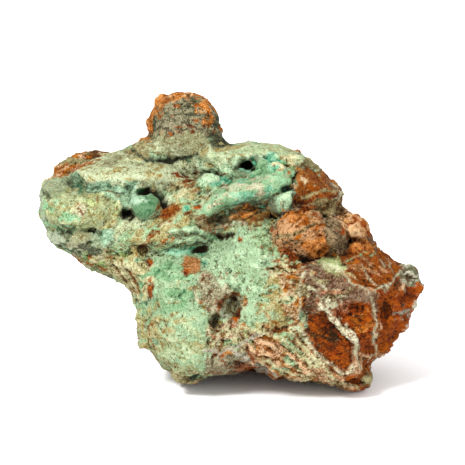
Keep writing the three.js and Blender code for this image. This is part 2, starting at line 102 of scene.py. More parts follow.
# Each finish: its dark, middle and light tones and the tone of its specks, how much of it is
# specked, how wet it looks, how fibrous it is (below 0 where its strands rise to the right),
# how knobbly and how faceted it is, and how high its grain stands in mm.
FINISHES = {
    "mint": ("94ad7f b6d2aa d0ebc2 7a6a3c", 0.1, 0, 0, 0, 0, 0.16),
    "yellow_crust": ("9f8650 c0b882 dcd6a9 b07a3c", 0.15, 0, 0, 0, 0, 0.2),
    "mauve": ("7e7658 aca284 ccc6a6 8a4a2c", 0.35, 0, 0, 0, 0, 0.3),
    "pink_brown": ("84704e c4b48e e6dcba 8a4a2c", 0.3, 0, -0.3, 0, 0, 0.34),
    "cream_rust": ("9b8e5b c3bd85 f2f0c5 a0602e", 0.35, 0, 0, 0, 0, 0.34),
    "foot": ("5f5034 887957 cbc197 4a3820", 0.2, 0, 0, 0, 0, 0.3),
    "red_brown": ("6b3218 a56b4d d4a584 8a3a18", 0.3, 0, 0.3, 0, 0, 0.3),
    "cream_tan": ("8a613d ca9e78 ffd9b2 8a4a24", 0.25, 0, 1, 0, 0.3, 0.36),
    "tan": ("996e45 cfaf83 f0ddba a05a2c", 0.35, 0, 0.3, 0, 0.4, 0.4),
    "shelf": ("583a24 7a5c46 a08872 5a3a24", 0.25, 0, 0.3, 0, 0.5, 0.34),
    "deep_rust": ("642c0c 944a14 b4622a 44220c", 0.1, 0, 0.5, 0, 0.7, 0.28),
    "bright_rust": ("74340c a04c12 bc6424 522a10", 0.1, 0, 0.5, 0, 0.7, 0.26),
    "grey_green": ("767458 a8a68a dcdcc6 7c4a2c", 0.15, 0.35, 0, 1, 0, 0.2),
    "cheek_rust": ("663010 944c14 b46a30 4a2810", 0.12, 0, 0.6, 0.2, 0.6, 0.26),
    "orange_tan": ("704628 b8845a e4b68c 4a3018", 0.25, 0, -0.6, 0, 0.6, 0.2),
    "brown_grey": ("564636 7d694e ac9474 42321f", 0.3, 0, 1, 0, 0.8, 0.26),
    "peach": ("b06c3c e2a66c fcd6ac 6a3814", 0.2, 0, 0.3, 0, 0.8, 0.28),
    "orange": ("8a4818 c2743a e8a46c 5c3010", 0.15, 0, 0.3, 0, 0.8, 0.32),
    "green_cream": ("a4b474 dceaa8 f6fcd0 b4844a", 0.1, 0, 0.3, 0, 0.4, 0.24),
    "window_rust": ("7c4a28 b07c50 cc9c70 5a3018", 0.3, 0, 0, 0, 0, 0.1),
    "wedge_rust": ("743410 955426 b67c4c 50280e", 0.2, 0, -0.3, 0, 0.4, 0.24),
    "ledge": ("5e4826 8c7650 b2a67e 7c3418", 0.2, 0.1, -1, 0, 0.6, 0.26),
    "olive_brown": ("6a5e3a 988e66 bcb48a 5c4024", 0.25, 0, -0.3, 0, 0, 0.3),
    "ridge_green": ("9daf83 cee1b2 eaf6cf a89a5c", 0.15, 0, 0.2, 0.2, 0, 0.14),
    "mint_olive": ("6c9155 a7d1a0 bfecc2 8a7a44", 0.15, 0.1, 0, 0.6, 0, 0.18),
    "mint_grey": ("88a27a bad8b0 e2fbd4 9a8456", 0.15, 0.15, 0, 0.9, 0, 0.16),
    "teal": ("629068 92b88a b0d4aa 468a62", 0.05, 0.3, 0, 0.5, 0, 0.18),
    "brown_rust": ("51391f 7f5d36 a88555 7c3a18", 0.3, 0, -0.4, 0, 0.5, 0.36),
    # Painted shade: a very dark tone laid into deep cavities, which are dark only with shade.
    "painted_cavity_shade": ("14120a 28261a 4e4a34 14120a", 0.1, 0, 0, 0, 0, 0.2),
    "wax_grey": ("566a4c 8ca686 b0ccaa 5c5a38", 0.1, 0.6, 0, 0.5, 0.5, 0.08),
    "rust_olive": ("6a4424 9a7c4e bab284 8a3a18", 0.35, 0, 0, 0, 0, 0.34),
    "band": ("737f5b adc697 c6e5bb 96682f", 0.2, 0, -0.7, 0, 0, 0.24),
    "brown_olive": ("5e5a3e 8e805c b2a682 8a4a24", 0.35, 0, -0.4, 0, 0, 0.34),
    "olive_cream": ("8d8561 abac85 c5c7a3 7a5a34", 0.25, 0, 0, 0, 0, 0.12),
    "boss_grey": ("66614c 949174 bab192 40382a", 0.35, 0, 0, 0, 0, 0.1),
    "boss_orange": ("924816 cc7836 ecb078 4a2610", 0.2, 0, 0.3, 0.4, 0, 0.14),
    "boss_dark": ("323325 494936 73785c 2e261a", 0.3, 0, 0.5, 0, 0.3, 0.1),
    "lump_rust": ("6d3412 ac652c d1904f 4c3420", 0.3, 0, 0.5, 0.3, 0.4, 0.28),
    "wing_green": ("667258 98a281 c2cba8 747c58", 0.1, 0.3, 0, 0, 0, 0.12),
    "slab": ("b3ba8d d9e0b6 eef9d4 a08c54", 0.2, 0, 0.1, 0, 0, 0.16),
    "cheek_olive": ("8a8d62 b0b887 d0d8ae 9a8448", 0.25, 0, -0.2, 0, 0, 0.22),
    "wing_teal": ("839073 a8b59a d5ddc1 7a7c54", 0.1, 0.3, 0, 0.6, 0, 0.16),
    "teal_grey": ("7fa37f a8cca8 d2ecd0 6e7a50", 0.1, 0.3, 0, 0.6, 0, 0.18),
    "chin": ("546547 879a77 bbc8a8 7a6a40", 0.2, 0.3, 0, 0.9, 0, 0.3),
    "ramp": ("6a6d43 8ea266 b5c88e 8a6234", 0.2, 0, -1, 0, 0, 0.3),
    "cream": ("8c7e52 cec898 f2f0c6 a06432", 0.2, 0, 0.4, 0.4, 0.4, 0.34),
    "septum": ("868064 c0ba97 eae8c8 6a5440", 0.1, 0.2, 0.2, 0, 0, 0.1),
    "grey_white": ("827a66 a8a08c d2ccb8 6a5a44", 0.15, 0.2, 0.3, 0, 0, 0.2),
    "deep_teal": ("4c9a74 80c49e b6e2c2 5c7c50", 0.05, 0.4, 0, 0.5, 0, 0.1),
    "bright_teal": ("7cbe94 a6dcb8 cef0d6 5c9c74", 0.05, 0.4, 0, 0.4, 0, 0.1),
    "wax": ("28543a 4a7652 789c76 4c6c46", 0.03, 0.9, 0, 0, 0.3, 0.03),
    "yellow": ("7e7450 cec69c f4eed0 7a4226", 0.5, 0, 0.4, 0, 0, 0.4),
    "red": ("561e0c 8c401c b46c3a 40180a", 0.25, 0, 0.2, 0, 0.4, 0.26),
    # The next two dark tones serve both as dark rock and as painted shade in crevices, gaps and slits.
    "dark_brown_and_painted_shade": ("2c180a 4e3018 745234 2c180a", 0.1, 0, 0.2, 0, 0, 0.24),
    "dark_grey_and_painted_shade": ("3e4434 626a52 8a9074 3a3a2a", 0.1, 0, 0.2, 0, 0, 0.16),
    "pit": ("635335 848565 a8ae94 4a2c18", 0.2, 0, 0.1, 0, 0, 0.22),
    # Painted shade: a dark green tone and a very dark tone laid into cavities and gaps.
    "painted_vug_shade": ("2c3824 5a6c4e 8c9c7c 2c2c1c", 0.1, 0.2, 0, 0.5, 0, 0.2),
    "painted_deep_shade": ("0c120a 1e2a1c 40503c 0c0f08", 0.1, 0, 0, 0, 0, 0.1),
}

# Areas: their finish, how far they stand out in mm (below 0 where pressed in), their corners.
AREAS = {
    "mint_left": ("mint", 0.5, [
        (-26.5, 44.5), (-18.5, 46.5), (-10, 42), (-10.5, 38), (-8.5, 33.5), (-10.5, 29), (-7.5, 25),
        (-9, 21.5), (-6, 18.5), (-8, 15), (-5, 11.5), (-8, 7.5), (-7.5, 3.5), (-18.5, 3.5), (-23.5, 12.5),
        (-27.5, 17.5), (-30.5, 24.5), (-30.5, 32), (-27.5, 37.5),
    ]),
    "mint_right": ("mint", 0.5, [
        (-8.5, 46), (-5, 51), (3.5, 53.5), (10.5, 49.5), (14, 42), (16, 29.5), (12.5, 19.5), (6.5, 17.5),
        (3.5, 22.5), (4.5, 29.5), (0.5, 32.5), (-5, 34.5), (-8.5, 39.5),
    ]),
    "yellow_edge": ("yellow_crust", 0, [
        (11.5, 42), (16.5, 42), (22, 32.5), (20.5, 22), (11.5, 17.5), (6.5, 19.5), (10.5, 27.5),
    ]),
    "mauve": ("mauve", 0.2, [
        (-10.5, 40), (-6, 39.5), (-0.5, 34.5), (-2, 29.5), (-5, 24.5), (-8.5, 28), (-10.5, 34.5),
    ]),
    "pink_brown": ("pink_brown", -0.4, [
        (-8.5, 21), (-2.5, 22.5), (3.5, 23.5), (7.5, 20), (8.5, 14.5), (1.5, 11.5), (-5.5, 11.5),
        (-7.5, 16),
    ]),
    "lower_left": ("cream_rust", 0, [
        (-31.5, 25.5), (-22.5, 24), (-18.5, 16), (-18.5, 7.5), (-26.5, 8.5), (-31.5, 17.5),
    ]),
    "foot": ("foot", 0, [(-20, 8), (-8, 6.5), (-7, 2), (-11.5, 0.5), (-18.5, 0.5)]),
    "bottom_cavity": ("red_brown", -1.2, [(-1.5, 11.5), (5, 12), (12.5, 8.5), (11.5, 4), (0, 2.5)]),
    "foot_ridges": ("cream_tan", 0, [
        (6.5, 19.5), (19.5, 21.5), (24, 14.5), (31.5, 7.5), (38.5, 4.5), (40.5, -0.5), (31.5, 0), (20, 2.5),
        (10.5, 6.5), (5, 12.5),
    ]),
    "tan_mottled": ("tan", 0, [
        (15.5, 42.5), (23.5, 42), (23.5, 29.5), (22, 22.5), (19.5, 21), (16.5, 26), (16, 34.5),
    ]),
    "shelf": ("shelf", 0.3, [
        (23.5, 39.5), (31.5, 40.5), (37.5, 38.5), (40.5, 34.5), (45.5, 32), (47, 27.5), (40, 28),
        (35, 28.5), (28.5, 25.5), (22.5, 23.5), (23.5, 31),
    ]),
    "big_cell": ("deep_rust", -0.8, [
        (24, 22), (30.5, 26.5), (34.5, 24), (38.5, 17.5), (41.5, 12.5), (43.5, 8.5), (38.5, 7), (31.5, 9),
        (27.5, 13), (25, 17.5),
    ]),
    "upper_cell": ("bright_rust", -0.3, [
        (37.5, 28.5), (42.5, 29.5), (46.5, 26.5), (47.5, 21), (47, 14.5), (43.5, 12.5), (40, 17.5),
        (36.5, 23.5), (35.5, 27.5),
    ]),
    "right_cell": ("deep_rust", -0.3, [
        (48.5, 29.5), (52.5, 34.5), (55.5, 35), (56.5, 29.5), (55.5, 19.5), (53.5, 14), (50, 11.5),
        (48, 14.5), (48.5, 21),
    ]),
    "boulder_foot": ("band", 0, [
        (6.5, 55.5), (12.5, 57), (14.5, 52.5), (14.5, 48), (18, 44.5), (22.5, 42.5), (18, 41.5), (11.5, 42),
        (8.5, 48),
    ]),
    "end_rust": ("bright_rust", -0.4, [
        (53.5, 32), (58.5, 33.5), (63.5, 32), (64, 26), (60.5, 20.5), (55.5, 16.5), (53.5, 22.5),
    ]),
    "end_knobs": ("grey_green", 0, [
        (56.5, 42.5), (60.5, 42.5), (65.5, 38), (65.5, 33.5), (62, 31.5), (58.5, 32.5), (56.5, 36.5),
    ]),
    "cheek_rust": ("cheek_rust", -0.3, [
        (35.5, 42), (38.5, 46), (45, 49.5), (51.5, 46.5), (57.5, 42), (56, 37.5), (51.5, 34.5), (48.5, 32),
        (43.5, 33.5), (39, 36), (36, 39.5),
    ]),
    "orange_boulder": ("orange_tan", 0.4, [
        (13.5, 51), (15.5, 57.5), (20.5, 60.5), (25.5, 59.5), (29.5, 57.5), (30, 52.5), (30.5, 47.5),
        (33.5, 45.5), (29.5, 43.5), (23.5, 43.5), (18.5, 46), (14.5, 48.5),
    ]),
    "brown_boulder": ("brown_grey", 0.1, [
        (29.5, 57.5), (31.5, 58.5), (35.5, 56.5), (38, 51), (38.5, 46), (35.5, 43.5), (32.5, 46),
        (30.5, 50),
    ]),
    "peach_boulder": ("peach", 0.4, [
        (35.5, 57.5), (40, 59), (43.5, 57.5), (46.5, 53.5), (46, 49.5), (41.5, 50), (38.5, 50.5),
        (36, 54.5),
    ]),
    "peach_foot": ("orange", 0, [(40.5, 49.5), (46.5, 49.5), (49, 46.5), (43.5, 45.5), (39, 46)]),
    "green_tip": ("green_cream", 0.9, [
        (29.5, 43.5), (35.5, 44.5), (36.5, 40.5), (40.5, 37.5), (36.5, 37.5), (32.5, 39.5), (29.5, 40),
    ]),
    "wedge": ("wedge_rust", 0.3, [
        (21.5, 72.5), (25, 74.5), (29.5, 73), (33.5, 68), (37, 66.5), (34, 64), (27.5, 62.5), (23.5, 61.5),
        (20.5, 63.5),
    ]),
    "ledge": ("ledge", 0, [
        (23.5, 61.5), (30.5, 63), (37, 64.5), (38, 60), (36.5, 57.5), (28.5, 57.5), (24, 59),
    ]),
    "wedge_top": ("olive_brown", 0, [
        (22, 76), (26.5, 77), (31, 73.5), (29.5, 72), (25, 73.5), (22.5, 72.5),
    ]),
    "top_ridge": ("ridge_green", 0, [
        (-10.5, 77), (-5, 81), (3.5, 83), (10.5, 82.5), (18.5, 80), (23.5, 76.5), (20.5, 73.5),
        (13.5, 76.5), (5, 77.5), (-1.5, 76), (-8.5, 74.5),
    ]),
    "ridge_right": ("mint_olive", 0, [
        (11.5, 76.5), (20, 76), (22.5, 72.5), (22, 67.5), (18.5, 64.5), (14, 66), (12.5, 71),
    ]),
    "mint_lumps": ("mint_grey", 1.4, [
        (-10.5, 74.5), (1.5, 75.5), (4, 72), (0.5, 67), (-5, 65.5), (-10, 67.5),
    ]),
    "knob_crowd": ("mint_grey", 0.7, [
        (-1.5, 70.5), (-0.5, 75.5), (2.5, 77.5), (7.5, 78.5), (12, 78.5), (15.5, 77), (14, 72.5), (9.5, 71),
        (4, 70),
    ]),
    "teal_ridge": ("teal", 0.6, [
        (-11.5, 58.5), (-7.5, 63.5), (-2.5, 68), (5, 71), (12.5, 71), (19, 68.5), (20, 65.5), (12.5, 64),
        (5, 62.5), (-0.5, 59.5), (-6, 56.5), (-10, 55.5),
    ]),
    "rust_strip": ("brown_rust", 0.3, [
        (-1.5, 58.5), (5, 61.5), (12.5, 63.5), (15, 60.5), (13.5, 56.5), (6.5, 54), (0, 54.5),
    ]),
    "drips": ("wax_grey", 0.8, [(13, 65.5), (20.5, 65.5), (20.5, 60), (18, 57), (14.5, 57), (13, 61)]),
    "mottled": ("rust_olive", -0.3, [(-20.5, 72), (-11.5, 72.5), (-10.5, 67.5), (-14.5, 65), (-20, 66.5)]),
    "band": ("band", 0, [
        (-41.5, 45.5), (-34, 52), (-23.5, 54.5), (-16.5, 58.5), (-8.5, 59.5), (-1.5, 58.5), (-0.5, 52),
        (-6.5, 48.5), (-13.5, 46.5), (-23.5, 44.5), (-30, 45.5), (-38.5, 43.5),
    ]),
    "band_brown": ("brown_olive", -0.3, [(-14, 58.5), (-5, 58), (2, 54.5), (-4.5, 50.5), (-11.5, 52.5)]),
    "boss_low": ("olive_cream", 0, [
        (-27.5, 83.5), (-23.5, 86), (-8, 86), (-6.5, 79.5), (-10, 76.5), (-23.5, 77), (-28, 79.5),
    ]),
    "boss_face": ("boss_grey", 0, [
        (-24.5, 92), (-22.5, 94.5), (-18, 96.5), (-13.5, 96), (-10.5, 93.5), (-8, 89.5), (-7, 85.5),
        (-23.5, 85), (-25.5, 88.5),
    ]),
    "boss_rim": ("boss_orange", 0.3, [
        (-31, 81.5), (-31, 92), (-27.5, 97.5), (-24.5, 101.5), (-15, 102.5), (-5.5, 100.5), (-1.5, 94.5),
        (-2, 90.5), (-5.5, 90.5), (-8, 91.5), (-10.5, 94.5), (-14, 97.5), (-18, 97.5), (-22, 95.5),
        (-24.5, 92.5), (-25.5, 88), (-26.5, 84), (-28, 81),
    ]),
    "boss_side": ("boss_dark", 0, [
        (-5.5, 92), (-2.5, 93.5), (1.5, 92), (2, 79.5), (-6.5, 79.5), (-6.5, 86.5),
    ]),
    "rust_lump": ("lump_rust", 0, [
        (-61.5, 69), (-61.5, 74), (-56.5, 79.5), (-50, 82.5), (-45, 83), (-40, 82), (-34.5, 79.5),
        (-37.5, 78), (-43, 77), (-47.5, 76), (-50, 72.5), (-55.5, 69.5),
    ]),
    "wing_tip": ("wing_green", 0, [
        (-67.5, 66.5), (-62, 69), (-56, 69.5), (-51.5, 71.5), (-49.5, 69), (-54.5, 65.5), (-61.5, 64.5),
    ]),
    "slab": ("slab", 0.4, [
        (-50, 72.5), (-48.5, 75.5), (-44.5, 77.5), (-40, 78.5), (-34, 78.5), (-29.5, 76.5), (-23.5, 75),
        (-11.5, 75), (-10, 72), (-18, 67.5), (-21.5, 65.5), (-31.5, 66.5), (-43.5, 66.5), (-48, 68.5),
    ]),
    "saddle": ("olive_brown", 0, [
        (-35.5, 79), (-28.5, 82.5), (-26.5, 79.5), (-22.5, 77.5), (-26.5, 75.5), (-31.5, 75.5),
        (-34.5, 76.5),
    ]),
    "cheek": ("cheek_olive", 0.4, [
        (-63.5, 64.5), (-56.5, 66), (-48.5, 65.5), (-38.5, 62.5), (-35.5, 59.5), (-37.5, 55), (-43.5, 53),
        (-53.5, 53), (-61.5, 53.5),
    ]),
    "wing_end": ("wing_teal", 0, [
        (-65.5, 65.5), (-62, 64.5), (-60.5, 59.5), (-59.5, 52.5), (-62.5, 53.5), (-64.5, 60),
    ]),
    "step": ("teal_grey", 1, [(-44, 66.5), (-30, 65.5), (-28, 61), (-35, 60.5), (-40, 61.5)]),
    "chin": ("chin", -0.2, [
        (-63, 53.5), (-53.5, 53), (-41.5, 53), (-36.5, 54), (-37, 49.5), (-43, 45.5), (-51.5, 43.5),
        (-59.5, 47),
    ]),
    "ramp": ("ramp", 0, [
        (-50.5, 44), (-40, 45.5), (-30.5, 46.5), (-29.5, 44), (-36.5, 42.5), (-39, 38.5), (-44, 38),
    ]),
    "cream_boulder": ("cream", 0, [
        (-40, 42), (-36.5, 44), (-28.5, 44), (-24.5, 39.5), (-25.5, 32.5), (-30, 29), (-34.5, 32.5),
        (-39, 37.5),
    ]),
    "orange_facet": ("orange", 0.5, [
        (23, 47.5), (26.5, 49.5), (29.5, 51.5), (33, 47), (32, 44.5), (26, 44),
    ]),
    "under_lip": ("mauve", 0, [(-8, 12), (-1.5, 11.5), (3.5, 10.5), (1.5, 6), (-5, 2.5), (-7.5, 3.5)]),
    "wax_lump": ("wax", 1.2, [
        (-32, 61.5), (-30.5, 63.5), (-27.5, 64), (-24.5, 62.5), (-23, 60.5), (-25.5, 58.5), (-27, 56.5),
        (-29.5, 56), (-31.5, 58),
    ]),
    "cell_green": ("dark_grey_and_painted_shade", 0, [
        (34, 21), (35.5, 20.5), (37.5, 17), (38.5, 14.5), (36.5, 15), (34.5, 17.5),
    ]),
    # Painted shade: the very dark and dark green areas from here to drip_shade lie in cavities and gaps,
    # over their pressed-in relief. drip_panel is the drip's own pale colour.
    "long_vug": ("painted_deep_shade", -3.6, [
        (-30, 66), (-26.5, 66), (-23.5, 65.5), (-21.5, 64.5), (-21.5, 61.5), (-22.5, 60.5), (-24, 62.5),
        (-26.5, 63.5), (-29.5, 64.5),
    ]),
    "low_vug": ("painted_cavity_shade", -0.2, [
        (-36.5, 59), (-35.5, 60), (-32.5, 60), (-31, 58.5), (-31, 56.5), (-32.5, 55.5), (-35.5, 56.5),
    ]),
    "vug_shade": ("painted_vug_shade", 0, [
        (0.5, 72.5), (1.5, 75.5), (4.5, 77), (8.5, 77), (10.5, 75.5), (9.5, 72.5), (6.5, 70.5), (2.5, 70.5),
    ]),
    "top_vug": ("painted_cavity_shade", -1.2, [
        (2, 72.5), (2.5, 74.5), (4, 75.5), (6.5, 76.5), (8.5, 75.5), (8.5, 74), (7.5, 72.5), (4.5, 72),
    ]),
    "top_vug_right": ("painted_vug_shade", -0.8, [(10.5, 77), (12, 78), (13.5, 77.5), (12.5, 76), (11, 76)]),
    "wedge_gap": ("painted_vug_shade", -1.2, [(22.5, 72.5), (23, 71.5), (21.5, 68), (20.5, 68.5)]),
    "drip_panel": ("mint_grey", 0.5, [
        (15.5, 63.5), (17, 64.5), (19.5, 64.5), (19.5, 61.5), (18, 59.5), (16, 60.5),
    ]),
    "drip_gap": ("painted_cavity_shade", -2, [(16.5, 67), (19, 67.5), (21.5, 67), (21, 65.5), (18, 65)]),
    "drip_shade": ("dark_grey_and_painted_shade", -1, [
        (12.5, 63.5), (14, 63.5), (14, 58), (17.5, 57), (19.5, 60.5), (20, 63.5), (21, 62.5), (20, 58.5),
        (17.5, 56), (13.5, 56.5),
    ]),
    # Painted shade: the dark crevices and gaps, the pit's upper rim, the slits and the shade under the
    # foot, down to foot_shade. pit and small_pit keep their own grey-green colour.
    "boulder_crevice": ("dark_brown_and_painted_shade", -1, [(21, 44.5), (23.5, 44.5), (27, 42.5), (25, 42), (22.5, 43)]),
    "peach_gap": ("dark_brown_and_painted_shade", -0.8, [(38, 50), (39.5, 49.5), (41.5, 50.5), (41.5, 49), (39, 48.5)]),
    "left_crevice": ("painted_deep_shade", -1.2, [(-31.5, 47.5), (-29.5, 47), (-26.5, 46), (-27, 44.5), (-29.5, 45.5)]),
    "band_hollow": ("dark_brown_and_painted_shade", -0.8, [
        (-13.5, 45.5), (-11, 46.5), (-9, 47), (-7.5, 46.5), (-8, 45), (-10.5, 44.5), (-12.5, 44.5),
    ]),
    "pit_rim": ("dark_brown_and_painted_shade", -0.3, [
        (-2.5, 29.5), (-1, 31), (1.5, 31.5), (3.5, 30.5), (2, 29.5), (-0.5, 28.5), (-2, 27),
    ]),
    "pit": ("pit", 0.6, [
        (-1.5, 28.5), (0, 29.5), (2.5, 30), (3.5, 28.5), (2.5, 26), (1, 23.5), (-1.5, 22.5), (-3, 24),
    ]),
    "small_pit": ("pit", -0.6, [
        (-6, 23.5), (-4.5, 24.5), (-3.5, 23.5), (-3.5, 21.5), (-4.5, 20), (-6, 21),
    ]),
    "slit": ("dark_brown_and_painted_shade", -0.8, [(-6, 19), (-3.5, 19), (-4, 18), (-5.5, 18)]),
    "slit_low": ("dark_brown_and_painted_shade", -0.8, [(-7.5, 17), (-6.5, 17), (-6.5, 15), (-7.5, 15)]),
    "foot_shade": ("painted_deep_shade", -1, [
        (-13.5, 4.5), (-10.5, 5), (-8, 4.5), (-8.5, 2.5), (-11.5, 2), (-13.5, 2.5),
    ]),
    "glass_wall": ("wax_grey", 0.6, [
        (-40, 66.5), (-35, 67), (-30.5, 66), (-31, 63.5), (-33.5, 60.5), (-36.5, 60.5), (-39, 62.5),
    ]),
    "rust_wedge": ("wedge_rust", 0.2, [
        (-22.5, 60.5), (-19.5, 62), (-15.5, 61.5), (-17.5, 58.5), (-19.5, 55.5), (-21.5, 53), (-23.5, 54),
        (-23, 57.5),
    ]),
}

# Round spots: finish, how far they stand out, middle, half width and half height, and roll in
# degrees anticlockwise.
SPOTS = {
    "orange_top": ("orange", 0, (20.5, 57), (4.3, 2), 12),
    "window": ("window_rust", 0.4, (-13, 41), (2.7, 2.7), 0),
    "window_red": ("red", 0, (-14.5, 39.5), (1.3, 1), -20),
    "cavity_rust": ("deep_rust", -1, (9.5, 5.5), (5, 2), -12),
    "teal_spot": ("bright_teal", 0.8, (-17.5, 45.5), (3.7, 1.3), -5),
    # Painted shade: a dark spot in a small pressed-in cavity.
    "dark_spot": ("dark_brown_and_painted_shade", -1.2, (-1.5, 50.5), (2.7, 1), 8),
    "rust_dot": ("red", 0, (3.5, 49.5), (0.7, 1.3), 0),
    "yellow_spot": ("yellow", 0, (-48.5, 59.5), (2, 1.7), 0),
    "mint_spot": ("mint", 0, (-56.5, 62.5), (1.7, 1), 0),
    "cream_knob": ("olive_cream", 0.6, (-49.5, 50.5), (3.3, 2.3), 10),
    "knob_hollow": ("chin", 1.4, (-44.5, 52), (1.7, 1.7), 30),
    "knob_shade": ("dark_grey_and_painted_shade", 0, (-44, 52), (0.7, 1), 30),
    "chin_teal": ("teal_grey", 0, (-40.5, 51.5), (3, 2.3), 0),
    "wax_shine": ("teal_grey", 0, (-29.5, 62), (1.7, 1), 10),
    "wax_brown": ("brown_rust", 0, (-24.5, 60), (0.7, 1.7), -30),
    "end_dark": ("deep_rust", -1.2, (55.5, 36), (2, 2.3), 0),
    "end_dark_core": ("dark_brown_and_painted_shade", 0, (56, 35.5), (1, 1.3), 0),
    "chin_lump": ("wing_teal", 0.9, (-57.5, 50.5), (3, 2), -25),
    # Painted shade in the gap by the fin.
    "fin_gap": ("dark_grey_and_painted_shade", -0.8, (-61.5, 64.5), (1.7, 0.7), 0),
    "end_grey": ("grey_green", 0.4, (62.5, 28), (1.3, 2.7), 0),
    "corner_cavity": ("deep_rust", 0.6, (41, 4), (3.7, 2.7), -10),
    "corner_rust": ("deep_rust", 0, (41.5, 4), (2.3, 1.7), 0),
    # Painted shade at the left of the corner cavity.
    "corner_dark": ("dark_brown_and_painted_shade", 0, (38.5, 3), (1.3, 1), -20),
    "corner_rim": ("olive_brown", 0.2, (46, 2.5), (1.7, 3.3), 0),
    "wing_hollow": ("wax_grey", 0.8, (-51, 69), (2, 3), 20),
    # Painted shade: the dark green low in the wing's cavity.
    "wing_dark": ("wax", 0, (-49.5, 66.5), (1, 1.7), 10),
    # Painted shade where the rust lump turns from the light.
    "lump_dark": ("dark_brown_and_painted_shade", 0, (-45, 79), (2.3, 1), 0),
    "yellow_tip": ("green_cream", 0, (34, 40.5), (4.7, 2), -15),
    "rim_glass": ("septum", 0, (37, 65.5), (1.2, 2.3), 10),
    "ledge_red": ("red", 0, (25.5, 60), (1.7, 1), 0),
    "band_rust": ("bright_rust", 0, (-10, 60.5), (1.7, 1), 0),
    "cream_rust_top": ("red", 0, (-26.5, 41.5), (1, 2), 0),
    "cream_rust_low": ("red", 0, (-25.5, 33.5), (1, 3), 0),
    "vug_fill": ("wax", 2.2, (-29.5, 66), (2, 1), 0),
    "boss_shoulder": ("boss_orange", 1.2, (-25.5, 98), (2, 1.7), 0),
    "boss_notch": ("boss_orange", -1.5, (-28, 94), (1.7, 2), 20),
    "boss_knob": ("boss_orange", 0.9, (-29, 89), (2, 1.7), 0),
    "boss_foot": ("boss_orange", 0.5, (-28.5, 83.5), (1.3, 2), 0),
    "mint_top": ("mint", 0, (-24, 76.5), (2.7, 1), 0),
    "teal_top": ("teal", 0, (10.5, 73), (3, 2.7), 0),
    "wedge_seat": ("wedge_rust", 0, (22.5, 62.5), (1.7, 1.3), 0),
}

